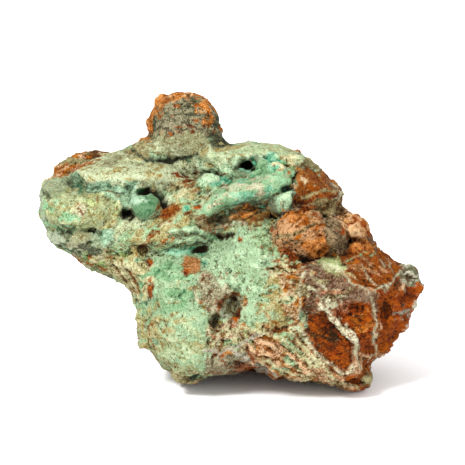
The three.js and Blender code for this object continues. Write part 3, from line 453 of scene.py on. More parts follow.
# Flecks strewn over a round patch: their finish, its middle, half width and half height, its
# roll, how much of it they cover, and how big they are in mm.
FLECKS = {
    "end_grey_low": ("grey_white", (58, 24.5), (4.3, 4), 0, 0.3, 2.5),
    "slab_stain": ("yellow_crust", (-33.5, 72), (17.3, 4), 0, 0.35, 3),
    "slab_teal": ("teal_grey", (-33.5, 67), (16.7, 2.3), 0, 0.5, 3),
    "slab_grey": ("olive_cream", (-36.5, 75), (14.7, 2), 5, 0.5, 3),
    "cheek_stain": ("yellow_crust", (-48.5, 58.5), (14, 5.7), -5, 0.3, 3.5),
    "cheek_pale": ("green_cream", (-50, 58.5), (14.7, 6), 0, 0.2, 2.5),
    "cheek_teal": ("mint_olive", (-56.5, 58.5), (9.3, 6.7), 0, 0.25, 3),
    "cheek_brown": ("brown_rust", (-40.5, 61), (4.7, 4), 0, 0.2, 2),
    "ramp_rust": ("cheek_rust", (-43.5, 42), (10.7, 3.7), 26, 0.3, 2.5),
    "ramp_pale": ("cream", (-40, 43.5), (12, 3.7), 20, 0.4, 4),
    "band_flecks": ("wedge_rust", (-18.5, 54.5), (16, 5.3), 35, 0.3, 2.5),
    "band_mint": ("mint", (-23.5, 50), (16.7, 4.7), 28, 0.3, 3),
    "band_pale": ("cream", (-26.5, 49.5), (15.3, 4.7), 28, 0.25, 2.5),
    "band_olive": ("yellow_crust", (-23.5, 50.5), (17.3, 5), 28, 0.4, 3),
    "band_dark": ("dark_grey_and_painted_shade", (-13.5, 51), (14.7, 4), 20, 0.25, 2),
    "chin_pale": ("septum", (-51.5, 47.5), (12, 3.7), -15, 0.35, 3),
    "chin_dark": ("dark_grey_and_painted_shade", (-50, 48.5), (12, 4), -10, 0.3, 4),
    "mottled_red": ("red", (-16, 70), (5.3, 2.7), 0, 0.5, 2),
    "mottled_pale": ("cream", (-16, 66), (6, 2.7), 0, 0.4, 2.5),
    "lump_brown": ("brown_rust", (-5.5, 68.5), (6.7, 4.7), 0, 0.3, 3),
    "lump_teal": ("deep_teal", (-1.5, 69.5), (8, 4.7), 0, 0.3, 4),
    "ridge_mint": ("mint", (3.5, 64.5), (16, 4), 18, 0.35, 5),
    "ridge_deep": ("deep_teal", (5, 62.5), (15.3, 3), 18, 0.45, 5),
    "ridge_cream": ("septum", (4, 65.5), (16, 5), 18, 0.2, 1.6),
    "top_stain": ("yellow_crust", (3.5, 80), (14.7, 2.7), 5, 0.4, 4),
    "top_teal": ("deep_teal", (12.5, 74.5), (8.7, 4), 15, 0.5, 4),
    "top_pale": ("cream", (18.5, 74.5), (5.3, 4.7), 0, 0.35, 3),
    "right_orange": ("boss_orange", (17.5, 72.5), (2.7, 2.7), 0, 0.15, 1.5),
    "strip_orange": ("boss_orange", (4, 58.5), (5.3, 2.7), 15, 0.3, 2),
    "strip_dark": ("dark_grey_and_painted_shade", (6, 60), (9.3, 3), 15, 0.35, 4),
    "strip_mauve": ("mauve", (3.5, 55.5), (9.3, 2.7), 10, 0.6, 5),
    "mint_stain": ("yellow_crust", (-19.5, 19.5), (13.3, 16.7), 0, 0.1, 5),
    "mint_deep": ("teal", (-21.5, 32.5), (10, 12), 0, 0.35, 7),
    "mint_grey": ("mint_grey", (5, 37.5), (12, 16), 0, 0.35, 7),
    "mint_rust": ("brown_rust", (-23.5, 14.5), (10, 10), -50, 0.08, 2),
    "lower_mint": ("mint", (-24, 16), (8, 10), 0, 0.45, 4),
    "lower_rust": ("brown_rust", (-27.5, 17.5), (6.7, 9.3), -50, 0.25, 2),
    "lower_olive": ("yellow_crust", (-25, 17.5), (8.7, 10.7), 0, 0.35, 3),
    "foot_mint": ("band", (-13.5, 4.5), (6.7, 3.3), 0, 0.4, 4),
    "pink_mint": ("band", (1.5, 16), (8, 6), 0, 0.25, 3),
    "pink_rust": ("red_brown", (0.5, 17.5), (8, 6), -30, 0.3, 2),
    "pink_pale": ("cream", (0.5, 17.5), (8, 5.3), 0, 0.35, 2.5),
    "mauve_rust": ("brown_rust", (-6.5, 34), (4.7, 8), -60, 0.25, 2),
    "mauve_grey": ("septum", (-5.5, 32.5), (4.7, 8), -60, 0.3, 2),
    "edge_mint": ("mint", (12, 30), (4.7, 12), 0, 0.35, 5),
    "edge_rust": ("lump_rust", (20, 34.5), (4.7, 10.7), 0, 0.25, 2.5),
    "tan_rust": ("bright_rust", (18.5, 39.5), (8.7, 6), 0, 0.4, 3),
    "tan_mint": ("band", (20, 28.5), (5.3, 8), 0, 0.2, 3),
    "tan_cream": ("cream", (18.5, 36), (7.3, 8.7), 0, 0.35, 3),
    "shelf_cream": ("septum", (30.5, 32), (11.3, 5.3), -30, 0.2, 2),
    "shelf_rust": ("red_brown", (35, 29.5), (10, 4.7), 0, 0.35, 3),
    "shelf_dark": ("foot", (28.5, 34.5), (10.7, 5.3), 0, 0.35, 4),
    "ridge_rust": ("lump_rust", (20, 12.5), (17.3, 10), -38, 0.4, 4),
    "ridge_olive": ("band", (18.5, 14.5), (15.3, 8), -38, 0.35, 5),
    "ridge_pale": ("cream", (23.5, 10), (17.3, 6.7), -38, 0.35, 3),
    "cavity_pale": ("septum", (5, 10), (8, 2.3), -10, 0.35, 3),
    "boulder_orange": ("orange", (22, 56), (8.7, 5.3), 0, 0.4, 5),
    "boulder_grey": ("brown_grey", (17.5, 48), (5.3, 4), 20, 0.4, 2.5),
    "boulder_red": ("cheek_rust", (24.5, 53.5), (6.7, 4), 20, 0.3, 2.5),
    "wedge_edge": ("tan", (23, 68), (2, 5.3), 80, 0.35, 2),
    "wedge_dark": ("cheek_rust", (29.5, 67.5), (6.7, 3.3), -20, 0.35, 3),
    "corner_flecks": ("brown_rust", (45.5, 2.5), (2.7, 4), 60, 0.2, 2),
    "low_mint": ("ridge_green", (-16.5, 15.5), (10, 11.3), -40, 0.4, 3),
    "low_olive": ("cheek_olive", (-15.5, 12.5), (10, 8.7), -40, 0.25, 2.5),
    "streak_green": ("band", (43.5, 44.5), (7.7, 1.3), 22, 0.5, 2),
    "peach_rust": ("bright_rust", (41.5, 53.5), (6.7, 4.3), 0, 0.4, 4),
    "cheek_dark": ("red", (46, 42), (10, 5.7), 0, 0.4, 4),
    "cheek_light": ("orange_tan", (46, 38.5), (10, 5.7), -20, 0.45, 3),
    "cell_light": ("bright_rust", (33.5, 17.5), (9.3, 9.3), -38, 0.5, 3),
    "cell_dark": ("dark_brown_and_painted_shade", (31.5, 14.5), (9.3, 8.7), -38, 0.15, 2.5),
    "upper_light": ("boss_orange", (42, 22.5), (5.3, 7.3), 0, 0.25, 3),
    "right_light": ("bright_rust", (52.5, 24.5), (6, 10), 0, 0.45, 4),
    "end_shade": ("dark_grey_and_painted_shade", (60.5, 37.5), (5.3, 5.3), 0, 0.3, 3),
    "end_brown": ("dark_brown_and_painted_shade", (55.5, 35.5), (3.3, 3.7), 0, 0.45, 2.5),
    "end_edge_grey": ("grey_green", (62.5, 27.5), (3, 8), 80, 0.45, 3),
    "knob_brown": ("brown_grey", (60.5, 37.5), (5, 5), 0, 0.12, 2.5),
    "end_rust_flecks": ("bright_rust", (60.5, 29.5), (6, 6.7), 0, 0.35, 3),
    "boss_red": ("red", (-16.5, 85.5), (9.3, 1.7), 0, 0.25, 1.2),
    "boss_shade": ("boss_dark", (-16, 92), (8, 3.7), 0, 0.3, 2),
    "boss_glow": ("boss_orange", (-10, 92), (4.7, 4), -50, 0.35, 2),
    "boss_pale": ("peach", (-18.5, 96.5), (5.3, 1.7), 15, 0.4, 1.5),
    "boss_green": ("slab", (-17.5, 80.5), (11.3, 3.3), 0, 0.4, 3),
    "rim_dark": ("wedge_rust", (-21.5, 96.5), (12.7, 6.7), 40, 0.25, 2),
    "rim_grey": ("boss_grey", (-8, 96), (8, 4.7), -40, 0.2, 1.6),
    "side_glow": ("wedge_rust", (-5.5, 88), (2.3, 6), 80, 0.35, 2),
    "side_grey": ("boss_grey", (-2.5, 86.5), (3.3, 7.3), 80, 0.3, 1.2),
    "lump_shade": ("wedge_rust", (-50, 76.5), (10.7, 4), 20, 0.35, 3),
    "lump_pale": ("cream_tan", (-51.5, 75.5), (11.3, 3.7), 40, 0.25, 2),
    "lump_grey": ("olive_brown", (-50, 77.5), (12, 4), 25, 0.3, 3),
    "drip_dark": ("dark_grey_and_painted_shade", (16.5, 60.5), (4, 4.3), 75, 0.3, 2.5),
}

# Veins, walls and streaks: finish, how far they stand out, the line they follow, and half
# their width.
STREAKS = {
    "slab_edge": ("teal_grey", -0.4, [(-47.5, 67.5), (-41.5, 66), (-36, 66.5), (-30.5, 67.5)], 1),
    # Painted shadow under the slab's overhanging edge.
    "slab_under_shadow": ("dark_grey_and_painted_shade", -0.5, [(-47.5, 65.5), (-43.5, 65), (-38.5, 65), (-34.5, 65.5)], 0.3),
    "drip_fin": ("dark_grey_and_painted_shade", -0.6, [(14, 64.5), (14.5, 61.5), (14.5, 58.5)], 0.5),
    "drip_foot": ("dark_brown_and_painted_shade", -0.6, [(13.5, 58), (15.5, 57), (17.5, 58)], 0.5),
    "slab_crack": ("dark_grey_and_painted_shade", -1, [
        (-32.5, 79), (-31.5, 77), (-28.5, 75.5), (-23.5, 75.5), (-17.5, 76.5), (-11, 77),
    ], 0.5),
    "teal_lips": ("teal", 0.8, [(-19, 52.5), (-13.5, 53.5), (-7.5, 51.5), (-4.5, 49)], 0.7),
    "lip_one": ("mint_grey", 0, [(-20, 52), (-13.5, 53.5), (-6, 51.5)], 0.4),
    "lip_two": ("mint_grey", 0, [(-17.5, 49), (-11.5, 50), (-5.5, 48.5)], 0.4),
    # Painted shade in the gaps under the teal lips.
    "lip_gap": ("dark_grey_and_painted_shade", -0.4, [(-18, 50.5), (-12.5, 51.5), (-8.5, 50.5)], 0.3),
    "lip_gap_low": ("dark_grey_and_painted_shade", -0.4, [(-14, 47.5), (-11, 48.5), (-6.5, 47)], 0.3),
    "line_orange": ("ledge", -0.7, [(14.5, 49), (21, 51.5), (28, 55)], 0.6),
    "boulder_rim": ("septum", 0.3, [(14, 50), (15, 55), (17.5, 58.5), (22, 60)], 0.3),
    "wall_top": ("septum", 0.4, [
        (23.5, 40), (30, 40.5), (36.5, 38.5), (40, 35), (45, 32.5), (46.5, 28.5), (47.5, 23.5), (47, 16),
        (48, 12.5), (46.5, 8.5),
    ], 0.3),
    "wall_right": ("septum", 0.4, [(47.5, 32), (50, 34), (53.5, 36), (56.5, 39.5)], 0.3),
    "wall_left": ("septum", 0.3, [(24.5, 38.5), (22.5, 33.5), (23.5, 29.5), (21.5, 24)], 0.3),
    "wall_thick": ("yellow", 1.1, [(30.5, 27.5), (34.5, 23.5), (38.5, 19.5), (40.5, 15.5)], 1.2),
    "wall_foot": ("septum", 0.4, [(40.5, 15), (42.5, 11), (44, 7.5)], 0.3),
    "corner_edge": ("cream", 0, [(37, 2.5), (40, 0.5), (43.5, -0.5)], 0.3),
    "cell_rim": ("yellow", 0.6, [(23.5, 20), (26, 14), (30.5, 9.5), (36.5, 6.5), (41.5, 7.5)], 0.5),
    "foot_crest_one": ("cream", 0.8, [(3.5, 22), (10.5, 19.5), (18, 15.5), (23.5, 10.5)], 0.5),
    "foot_crest_two": ("cream_tan", 0.9, [(5.5, 15.5), (12.5, 12), (20, 7.5), (27.5, 3.5)], 0.6),
    "foot_crest_three": ("cream", 0.8, [(10.5, 10.5), (18, 6.5), (24.5, 3.5), (30.5, 1.5)], 0.4),
    "foot_gap_one": ("wedge_rust", -0.7, [(6.5, 19), (14, 15.5), (20.5, 11.5), (26, 7.5)], 0.4),
    "foot_gap_two": ("lump_rust", -0.7, [(8.5, 13), (16, 9.5), (22.5, 5.5), (29.5, 2.5)], 0.4),
    "foot_gap_three": ("wedge_rust", -0.6, [(22, 18), (26, 12.5), (30.5, 8), (36, 3.5)], 0.4),
    "ridge_light": ("cream", 0.7, [(19.5, 20.5), (24.5, 13.5), (29.5, 8.5), (33.5, 5), (36, 3.5)], 0.5),
    "ridge_light_low": ("cream_tan", 0.6, [(8.5, 17.5), (15, 14.5), (23.5, 8.5), (30.5, 3.5)], 0.7),
    "lip_grey": ("grey_white", 0.7, [(-8.5, 14), (-2.5, 12), (1.5, 13.5), (6.5, 17), (9.5, 19)], 0.5),
    "lip_grey_low": ("grey_white", 0.7, [(0.5, 12), (6.5, 10), (10.5, 7), (15.5, 4.5)], 0.7),
    "vein_white": ("septum", 0.3, [(43.5, 41.5), (45.5, 38.5), (47.5, 36), (49.5, 33.5)], 0.3),
    "vein_short": ("septum", 0, [(49, 43.5), (50.5, 40.5)], 0.3),
    "vein_thin": ("septum", 0, [(52.5, 42.5), (53.5, 39.5)], 0.2),
    "wedge_red": ("red", -0.7, [(22, 61.5), (27.5, 62.5), (32.5, 63.5), (36.5, 65.5)], 0.5),
    "wedge_pale": ("olive_brown", 0.4, [(24, 63), (30, 64.5), (35, 66.5)], 0.4),
    "ramp_edge": ("foot", -0.6, [(-48.5, 40.5), (-43.5, 39), (-39.5, 36.5), (-35, 32.5), (-31, 28.5)], 0.7),
    "cream_streak": ("brown_rust", -0.5, [(-39, 42.5), (-35.5, 37), (-31, 31.5)], 0.4),
    "cream_streak_two": ("brown_rust", -0.4, [(-36.5, 43.5), (-33, 38.5), (-29, 32.5)], 0.4),
    "pink_line": ("brown_rust", 0, [(-6, 22), (-2.5, 17.5), (-3.5, 12.5)], 0.4),
    "bottom_dark": ("dark_brown_and_painted_shade", -0.6, [(-8, 1.5), (-1.5, 3.5), (10.5, 3.5), (20, 1.5)], 0.5),
}


def tone(code):
    """A colour written as hexadecimal, as linear red, green and blue by the sRGB curve."""
    share = np.array([int(code[i : i + 2], 16) for i in (0, 2, 4)]) / 255
    light = np.where(share <= 0.04045, share / 12.92, ((share + 0.055) / 1.055) ** 2.4)
    grey = light @ GREY_SHARES
    return STUDIO * np.maximum(grey + DEPTH * (light - grey), DARKEST)


def finish_values(name):
    """A finish as one row of numbers: its four tones, then its six amounts."""
    tones, *amounts = FINISHES[name]
    return np.concatenate([tone(code) for code in tones.split()] + [amounts])


def mixed(values, finish, amount):
    """Finish values with another finish laid over them by the given amount."""
    return values + (finish_values(finish) - values) * amount[:, None]


def upright(points):
    """Points of the resting stone in metres, as millimetres on the upright stone."""
    x, y, z = (points / MM).T
    x, y = x + FOOTPRINT_CENTRE[0], y + FOOTPRINT_CENTRE[1]
    return np.stack([
        x,
        y * math.cos(LEAN) - z * math.sin(LEAN),
        y * math.sin(LEAN) + z * math.cos(LEAN),
    ], axis=1)


def eased(value, low, high):
    """0 below low, 1 above high, and smooth between."""
    share = np.clip((value - low) / (high - low), 0, 1)
    return share * share * (3 - 2 * share)


def unevenness(points, size, seed):
    """Smooth noise from about -1 to 1 at each point, with lumps of the given size."""
    shifted = points / size + seed * SEED_STEP
    return np.array([noise.noise(Vector(p)) for p in shifted])


def two_sizes(points, size, small, share, seed):
    """Smooth noise with smaller lumps laid over it by the given share."""
    return unevenness(points, size, seed) + share * unevenness(points, small, seed + 1)


def drawn_out(points, rise, length):
    """Points squeezed along a line that rises to the right, so that noise there runs long."""
    turn = math.radians(rise)
    x, y, z = points.T
    along = x * math.cos(turn) + z * math.sin(turn)
    across = z * math.cos(turn) - x * math.sin(turn)
    return np.stack([along / length, y / 2, across], axis=1)


def strands(points, rise):
    """Long noise along lines that rise to the right by the given angle."""
    wavy = points + np.outer(1.2 * unevenness(points, 9, seed=20), (0, 0, 1))
    return two_sizes(drawn_out(wavy, rise, 6), 2.4, 1.2, 0.7, seed=21)


def flakes(points):
    """Low steps, as where thin layers have broken away."""
    level = 6 * unevenness(points * np.array([0.7, 1, 1]), 8, seed=23)
    level += 1.5 * unevenness(points, 3, seed=24)
    part = level - np.floor(level)
    return eased(part, 0.4, 0.6) - part


def cracks(points, size, seed):
    """Thin wandering lines: 1 along them and 0 elsewhere."""
    return 1 - eased(np.abs(unevenness(points, size, seed)), 0, 0.05)


def cell_network(points, size, shift):
    """Each point on the scale of the cells, its distances to the nearest middles, and these."""
    for p in points / size + shift:
        place = Vector(p)
        yield (place, *noise.voronoi(place))


def cells(points, size):
    """How deep each point lies in a network of cells: 0 on their walls, about 1 inside."""
    return np.array([gaps[1] - gaps[0] for _, gaps, _ in cell_network(points, size, 11.7)])


def knobs(points, size):
    """Round lumps that touch: about 1 on their crowns and 0 in the creases between them."""
    away = np.array([gaps[0] for _, gaps, _ in cell_network(points, size, 7.3)])
    return np.sqrt(np.clip(1 - (away / 0.75) ** 2, 0, 1))


def facets(points, size):
    """Flat faces at odd angles, as on broken rock."""
    height = []
    for place, _, middles in cell_network(points, size, 3.1):
        start = middles[0] * 5.3
        slope = [noise.noise(start + Vector.Fill(3, shift)) for shift in SLOPE_SHIFTS]
        height.append(Vector(slope) @ (place - middles[0]))
    return np.array(height)


def to_line(places, ends):
    """Distance of each place to a line through the given points."""
    nearest = np.full(len(places), np.inf)
    for start, end in zip(ends[:-1], ends[1:]):
        start, step = np.array(start), np.subtract(end, start)
        share = np.clip((places - start) @ step / (step @ step), 0, 1)
        gap = places - start - share[:, None] * step
        nearest = np.minimum(nearest, np.hypot(gap[:, 0], gap[:, 1]))
    return nearest


def into_area(places, corners):
    """How far inside an area each place lies, negative outside."""
    inside = np.zeros(len(places), bool)
    x, z = places.T
    for (x0, z0), (x1, z1) in zip(corners, corners[1:] + corners[:1]):
        if z0 != z1:
            inside ^= ((z0 > z) != (z1 > z)) & (x < x0 + (z - z0) / (z1 - z0) * (x1 - x0))
    return to_line(places, corners + corners[:1]) * np.where(inside, 1, -1)


def into_spot(places, middle, size, roll):
    """How far inside a round spot each place lies, negative outside."""
    turn = math.radians(roll)
    away = places - np.array(middle)
    across = (away[:, 0] * math.cos(turn) + away[:, 1] * math.sin(turn)) / size[0]
    up = (away[:, 1] * math.cos(turn) - away[:, 0] * math.sin(turn)) / size[1]
    return (1 - np.hypot(across, up)) * min(size)


def around(places, marks, reach):
    """Which places lie within the given reach of a mark's box."""
    low, high = np.min(marks, 0) - reach, np.max(marks, 0) + reach
    return np.flatnonzero(np.all((places > low) & (places < high), axis=1))


def edge_room(corners):
    """How far the edge of an area may wander in mm: less where the area is small."""
    width, height = np.ptp(corners, axis=0)
    return min(2.2, 0.16 * min(width, height))


def paint(places, points):
    """Where each area, fleck, spot and streak goes, how much of it there is, and its relief."""
    broad = two_sizes(points, 3.4, 1.4, 0.7, seed=14)
    close = two_sizes(points, 1.7, 0.9, 0.6, seed=16)
    for finish, relief, corners in AREAS.values():
        near = around(places, corners, reach=4)
        inside = into_area(places[near], corners) + edge_room(corners) * broad[near]
        yield near, finish, eased(inside, -0.6, 0.6), relief
    for finish, middle, size, roll, share, lump in FLECKS.values():
        near = around(places, [middle], reach=1.3 * max(size))
        inside = into_spot(places[near], middle, size, roll) / min(size)
        long = drawn_out(points[near], roll, 2.6)
        patchy = two_sizes(long, 0.8 * lump, 0.35 * lump, 0.6, seed=18)
        amount = eased(patchy, 0.3 - 0.6 * share, 0.42 - 0.6 * share)
        yield near, finish, amount * eased(inside + 0.5 * broad[near], 0, 0.25), 0
    for finish, relief, middle, size, roll in SPOTS.values():
        near = around(places, [middle], reach=1.5 * max(size))
        inside = into_spot(places[near], middle, size, roll) + 0.8 * close[near]
        yield near, finish, eased(inside, -0.35, 0.35), relief
    for finish, relief, ends, width in STREAKS.values():
        near = around(places, ends, reach=2 * width + 1)
        inside = width * (1 + 0.9 * close[near]) - to_line(places[near], ends)
        yield near, finish, eased(inside, -0.3, 0.3), relief


def rough_sides(points, depth_in_cell):
    """Finishes and relief where the photograph doesn't reach: rust, pale walls, green crust."""
    x, _, z = points.T
    broad = unevenness(points, 16, seed=1)
    patchy = unevenness(points, 6, seed=2)
    small = unevenness(points, 3, seed=28)
    falling = unevenness(drawn_out(points, -35, 4), 4, seed=3) + 0.3 * patchy
    wall = (1 - eased(depth_in_cell, 0.01, 0.06)) * eased(broad + 0.6 * patchy, -0.15, 0.1)
    # There is more crust to the left and towards the top.
    green = unevenness(points, 20, seed=4) - 0.012 * (x + 6) + 0.006 * (z - 40) + 0.15 * patchy
    crust = eased(green + 0.15 * small, -0.02, 0.04)
    # The boss stands above 83 mm, and up to 17 mm to either side of x = -16.5.
    boss = eased(z + 2 * patchy, 82, 84) * eased(np.abs(x + 16.5), 18, 16)
    layers = (
        ("bright_rust", eased(patchy + 0.5 * small, 0, 0.2)),
        ("shelf", eased(broad + 0.5 * patchy, 0.08, 0.2)),
        ("orange_tan", eased(small + patchy, 0.35, 0.5)),
        ("cream_tan", eased(falling, 0.16, 0.26)),
        ("septum", wall),
        ("band", crust),
        ("mint", crust * eased(green + 0.2 * patchy, 0.05, 0.15)),
        ("slab", crust * eased(falling + 0.4 * small, 0.12, 0.26)),
        ("yellow_crust", crust * eased(small - patchy, 0.2, 0.4)),
        ("deep_teal", crust * eased(small + broad, 0.35, 0.5)),
        ("lump_rust", eased(patchy - falling, 0.42, 0.5) * (1 - 0.6 * crust)),
        ("boss_dark", boss),
        ("boss_orange", boss * eased(patchy + 0.02 * (z - 92), -0.1, 0.1)),
    )
    values = np.tile(finish_values("deep_rust"), (len(points), 1))
    for finish, amount in layers:
        values = mixed(values, finish, amount)
    return values, 0.8 * wall * (1 - crust) * (1 - boss) + 1.2 * broad + 0.4 * crust


def grain_relief(points, values):
    """How far the grain of the finishes stands out from the surface, in mm."""
    *_, fibrous, knobbly, faceted, grain = values.T
    share = np.abs(fibrous)
    crumbs = two_sizes(points, 2.3, 1.25, 0.7, seed=10)
    lines = np.where(fibrous > 0, strands(points, -FALL), strands(points, RISE))
    height = 1.5 * (1 - share) * crumbs + 3.6 * share * lines
    height += 4 * unevenness(points, 8, seed=25) + 2 * unevenness(points, 4.2, seed=26)
    height += 2 * (1 - knobbly) * flakes(points) - 2 * cracks(points, 7, seed=27)
    height *= grain
    height += 1.45 * knobbly * (knobs(points, 3.1) - 0.6)
    height += 2.3 * faceted * facets(points, 7.5)
    return height


class Skin:
    """The stone's fine mesh as arrays: its points, and which neighbours each point has."""

    def __init__(self, mesh):
        self.mesh = mesh
        self.points = np.empty((len(mesh.vertices), 3))
        mesh.vertices.foreach_get("co", self.points.ravel())
        self.edges = np.empty((len(mesh.edges), 2), int)
        mesh.edges.foreach_get("vertices", self.edges.ravel())
        self.degree = np.bincount(self.edges.ravel(), minlength=len(self.points))

    def averaged(self, values, rounds):
        """Values at the points, each moved halfway to its neighbours' mean, round by round."""
        a, b = self.edges.T
        rows = len(self.points)
        columns = values.reshape(rows, -1).T.astype(float)
        for _ in range(rounds):
            total = [np.bincount(a, c[b], rows) + np.bincount(b, c[a], rows) for c in columns]
            columns = (columns + total / self.degree) / 2
        return columns.T.reshape(values.shape)

    def write(self):
        """Puts the points back into the mesh."""
        self.mesh.vertices.foreach_set("co", self.points.ravel())
        self.mesh.update()

    def normals(self):
        """Which way the surface faces at each point."""
        self.write()
        facing = np.empty((len(self.points), 3), np.float32)
        self.mesh.vertex_normals.foreach_get("vector", facing.ravel())
        return facing.astype(float)

    def standing_out(self):
        """How far each point stands out from what lies near it and wide around it, in mm."""
        near = (self.points - self.averaged(self.points, NEAR_ROUNDS)) / MM
        wide = (self.points - self.averaged(self.points, WIDE_ROUNDS)) / MM
        return np.einsum("ij,ij->i", 1.6 * near + 0.5 * wide, self.normals())


def wander(points):
    """How far the marks are shifted sideways and up at each point, so that no edge is straight."""
    return np.stack([
        2.2 * unevenness(points, 9, seed) + 1.2 * unevenness(points, 3.5, seed + 1)
        for seed in (6, 8)
    ], axis=1)


def fit_to_box(points):
    """Brings the worked surface back to the solid's own box."""
    low, high = (np.array(corner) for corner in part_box(NODE))
    size = points.max(0) - points.min(0)
    return low + (points - points.min(0)) / size * (high - low)


def work_stone(mesh):
    """Presses the stone's forms and grain into its fine mesh, and lays its finishes on it."""
    skin = Skin(mesh)
    skin.points = skin.averaged(skin.points, SOFT_ROUNDS)
    facing = skin.normals()
    points = upright(skin.points)
    toward_viewer = -(facing[:, 1] * math.cos(LEAN) - facing[:, 2] * math.sin(LEAN))
    seen = eased(toward_viewer + 0.15 * unevenness(points, 4, seed=5), -0.4, -0.15)
    turned = eased(-toward_viewer, -0.4, 0.1)
    shift = wander(points)
    places = points[:, [0, 2]] + shift * (0.6 + 1.4 * turned)[:, None]
    values, relief = rough_sides(points, cells(points + 1.5 * shift[:, [0, 1, 0]], 17))
    relief *= 1 - seen
    for near, finish, amount, height in paint(places, points):
        amount = amount * seen[near]
        values[near] = mixed(values[near], finish, amount)
        relief[near] += height * amount
    relief = skin.averaged(relief, EDGE_ROUNDS) + grain_relief(points, values)
    above_floor = eased(skin.points[:, 2], 0.4 * MM, 2 * MM)
    skin.points = skin.points + facing * (relief * above_floor * MM)[:, None]
    raised = skin.standing_out()
    skin.points = fit_to_box(skin.points)
    skin.points[:, 2] = np.maximum(skin.points[:, 2], 0)
    skin.write()
    lay_on(mesh, values, raised)


def lay_on(mesh, values, raised):
    """Writes what the material reads to the mesh: the tones and amounts of the finishes."""
    opaque = np.ones((len(mesh.vertices), 1))
    tones = np.split(values[:, :TONE_COLUMNS], 4, axis=1)
    for name, colour in zip(("dark", "middle", "light", "speck"), tones):
        layer = mesh.attributes.new(name, "FLOAT_COLOR", "POINT")
        colour = np.concatenate([colour, opaque], axis=1)
        layer.data.foreach_set("color", colour.astype(np.float32).ravel())
    specked, wet, fibrous, *_ = values[:, TONE_COLUMNS:].T
    # raised, how far each point stands out, leads the painted light on crests and the painted shade in
    # creases.
    amounts = {"specked": specked, "wet": wet, "fibrous": fibrous, "raised": raised}
    for name, amount in amounts.items():
        layer = mesh.attributes.new(name, "FLOAT", "POINT")
        layer.data.foreach_set("value", amount.astype(np.float32))


class Wire:
    """A number in the material that can stand in a Python expression."""

    def __init__(self, tree, socket):
        self.tree = tree
        self.socket = socket

    def maths(self, operation, *terms):
        """The outcome of one operation on numbers and wires."""
        node = self.tree.nodes.new("ShaderNodeMath")
        node.operation = operation
        for slot, term in zip(node.inputs, terms):
            if isinstance(term, Wire):
                self.tree.links.new(term.socket, slot)
            else:
                slot.default_value = term
        return Wire(self.tree, node.outputs[0])

    def __add__(self, other):
        return self.maths("ADD", self, other)

    __radd__ = __add__

    def __sub__(self, other):
        return self.maths("SUBTRACT", self, other)

    def __rsub__(self, other):
        return self.maths("SUBTRACT", other, self)

    def __mul__(self, other):
        return self.maths("MULTIPLY", self, other)

    __rmul__ = __mul__


class Bench:
    """Where one material's nodes are put together."""

    def __init__(self, name):
        self.material = bpy.data.materials.new(name)
        self.material.use_nodes = True
        self.tree = self.material.node_tree
        self.tree.nodes.clear()

    def node(self, kind, settings=None, values=None, output=0):
        """A node with its settings made, then its sockets given values or wires."""
        node = self.tree.nodes.new(kind)
        for key, setting in (settings or {}).items():
            setattr(node, key, setting)
        for key, value in (values or {}).items():
            slot = next(s for s in node.inputs if key in (s.identifier, s.name) and s.enabled)
            if isinstance(value, Wire):
                self.tree.links.new(value.socket, slot)
            else:
                slot.default_value = value
        return Wire(self.tree, node.outputs[output])

    def finish(self, values):
        """Ends the nodes with a Principled surface of the given values, and gives the material."""
        surface = self.node("ShaderNodeBsdfPrincipled", values=values)
        output = self.tree.nodes.new("ShaderNodeOutputMaterial")
        self.tree.links.new(surface.socket, output.inputs["Surface"])
        return self.material

    def number(self, name):
        """A layer of numbers that was laid on the mesh."""
        return self.node("ShaderNodeAttribute", {"attribute_name": name}, output=LAYER_NUMBER)

    def colour(self, name):
        """A layer of colours that was laid on the mesh."""
        return self.node("ShaderNodeAttribute", {"attribute_name": name})

    def eased(self, value, low, high):
        """0 below low, 1 above high, and smooth between."""
        return self.node(
            "ShaderNodeMapRange",
            {"interpolation_type": "SMOOTHSTEP"},
            {"Value": value, "From Min": low, "From Max": high},
        )

    def mix(self, factor, first, second, blend="MIX"):
        """Two colours mixed."""
        return self.node(
            "ShaderNodeMix",
            {"data_type": "RGBA", "blend_type": blend},
            {"Factor_Float": factor, "A_Color": first, "B_Color": second},
            MIXED_COLOUR,
        )

    def stretched(self, place, fall):
        """A place drawn out along lines that fall to the right by the given angle."""
        return self.node(
            "ShaderNodeMapping",
            {"vector_type": "TEXTURE"},
            {"Vector": place, "Rotation": (0.0, math.radians(fall), 0.0), "Scale": (6.0, 1.5, 1.0)},
        )

    def noise(self, place, size_mm, detail, roughness, curl=0.0):
        """Smooth noise from 0 to 1 with lumps of the given size, drawn into curls if asked."""
        return self.node("ShaderNodeTexNoise", values={
            "Vector": place,
            "Scale": 1 / (size_mm * MM),
            "Detail": detail,
            "Roughness": roughness,
            "Distortion": curl,
        })


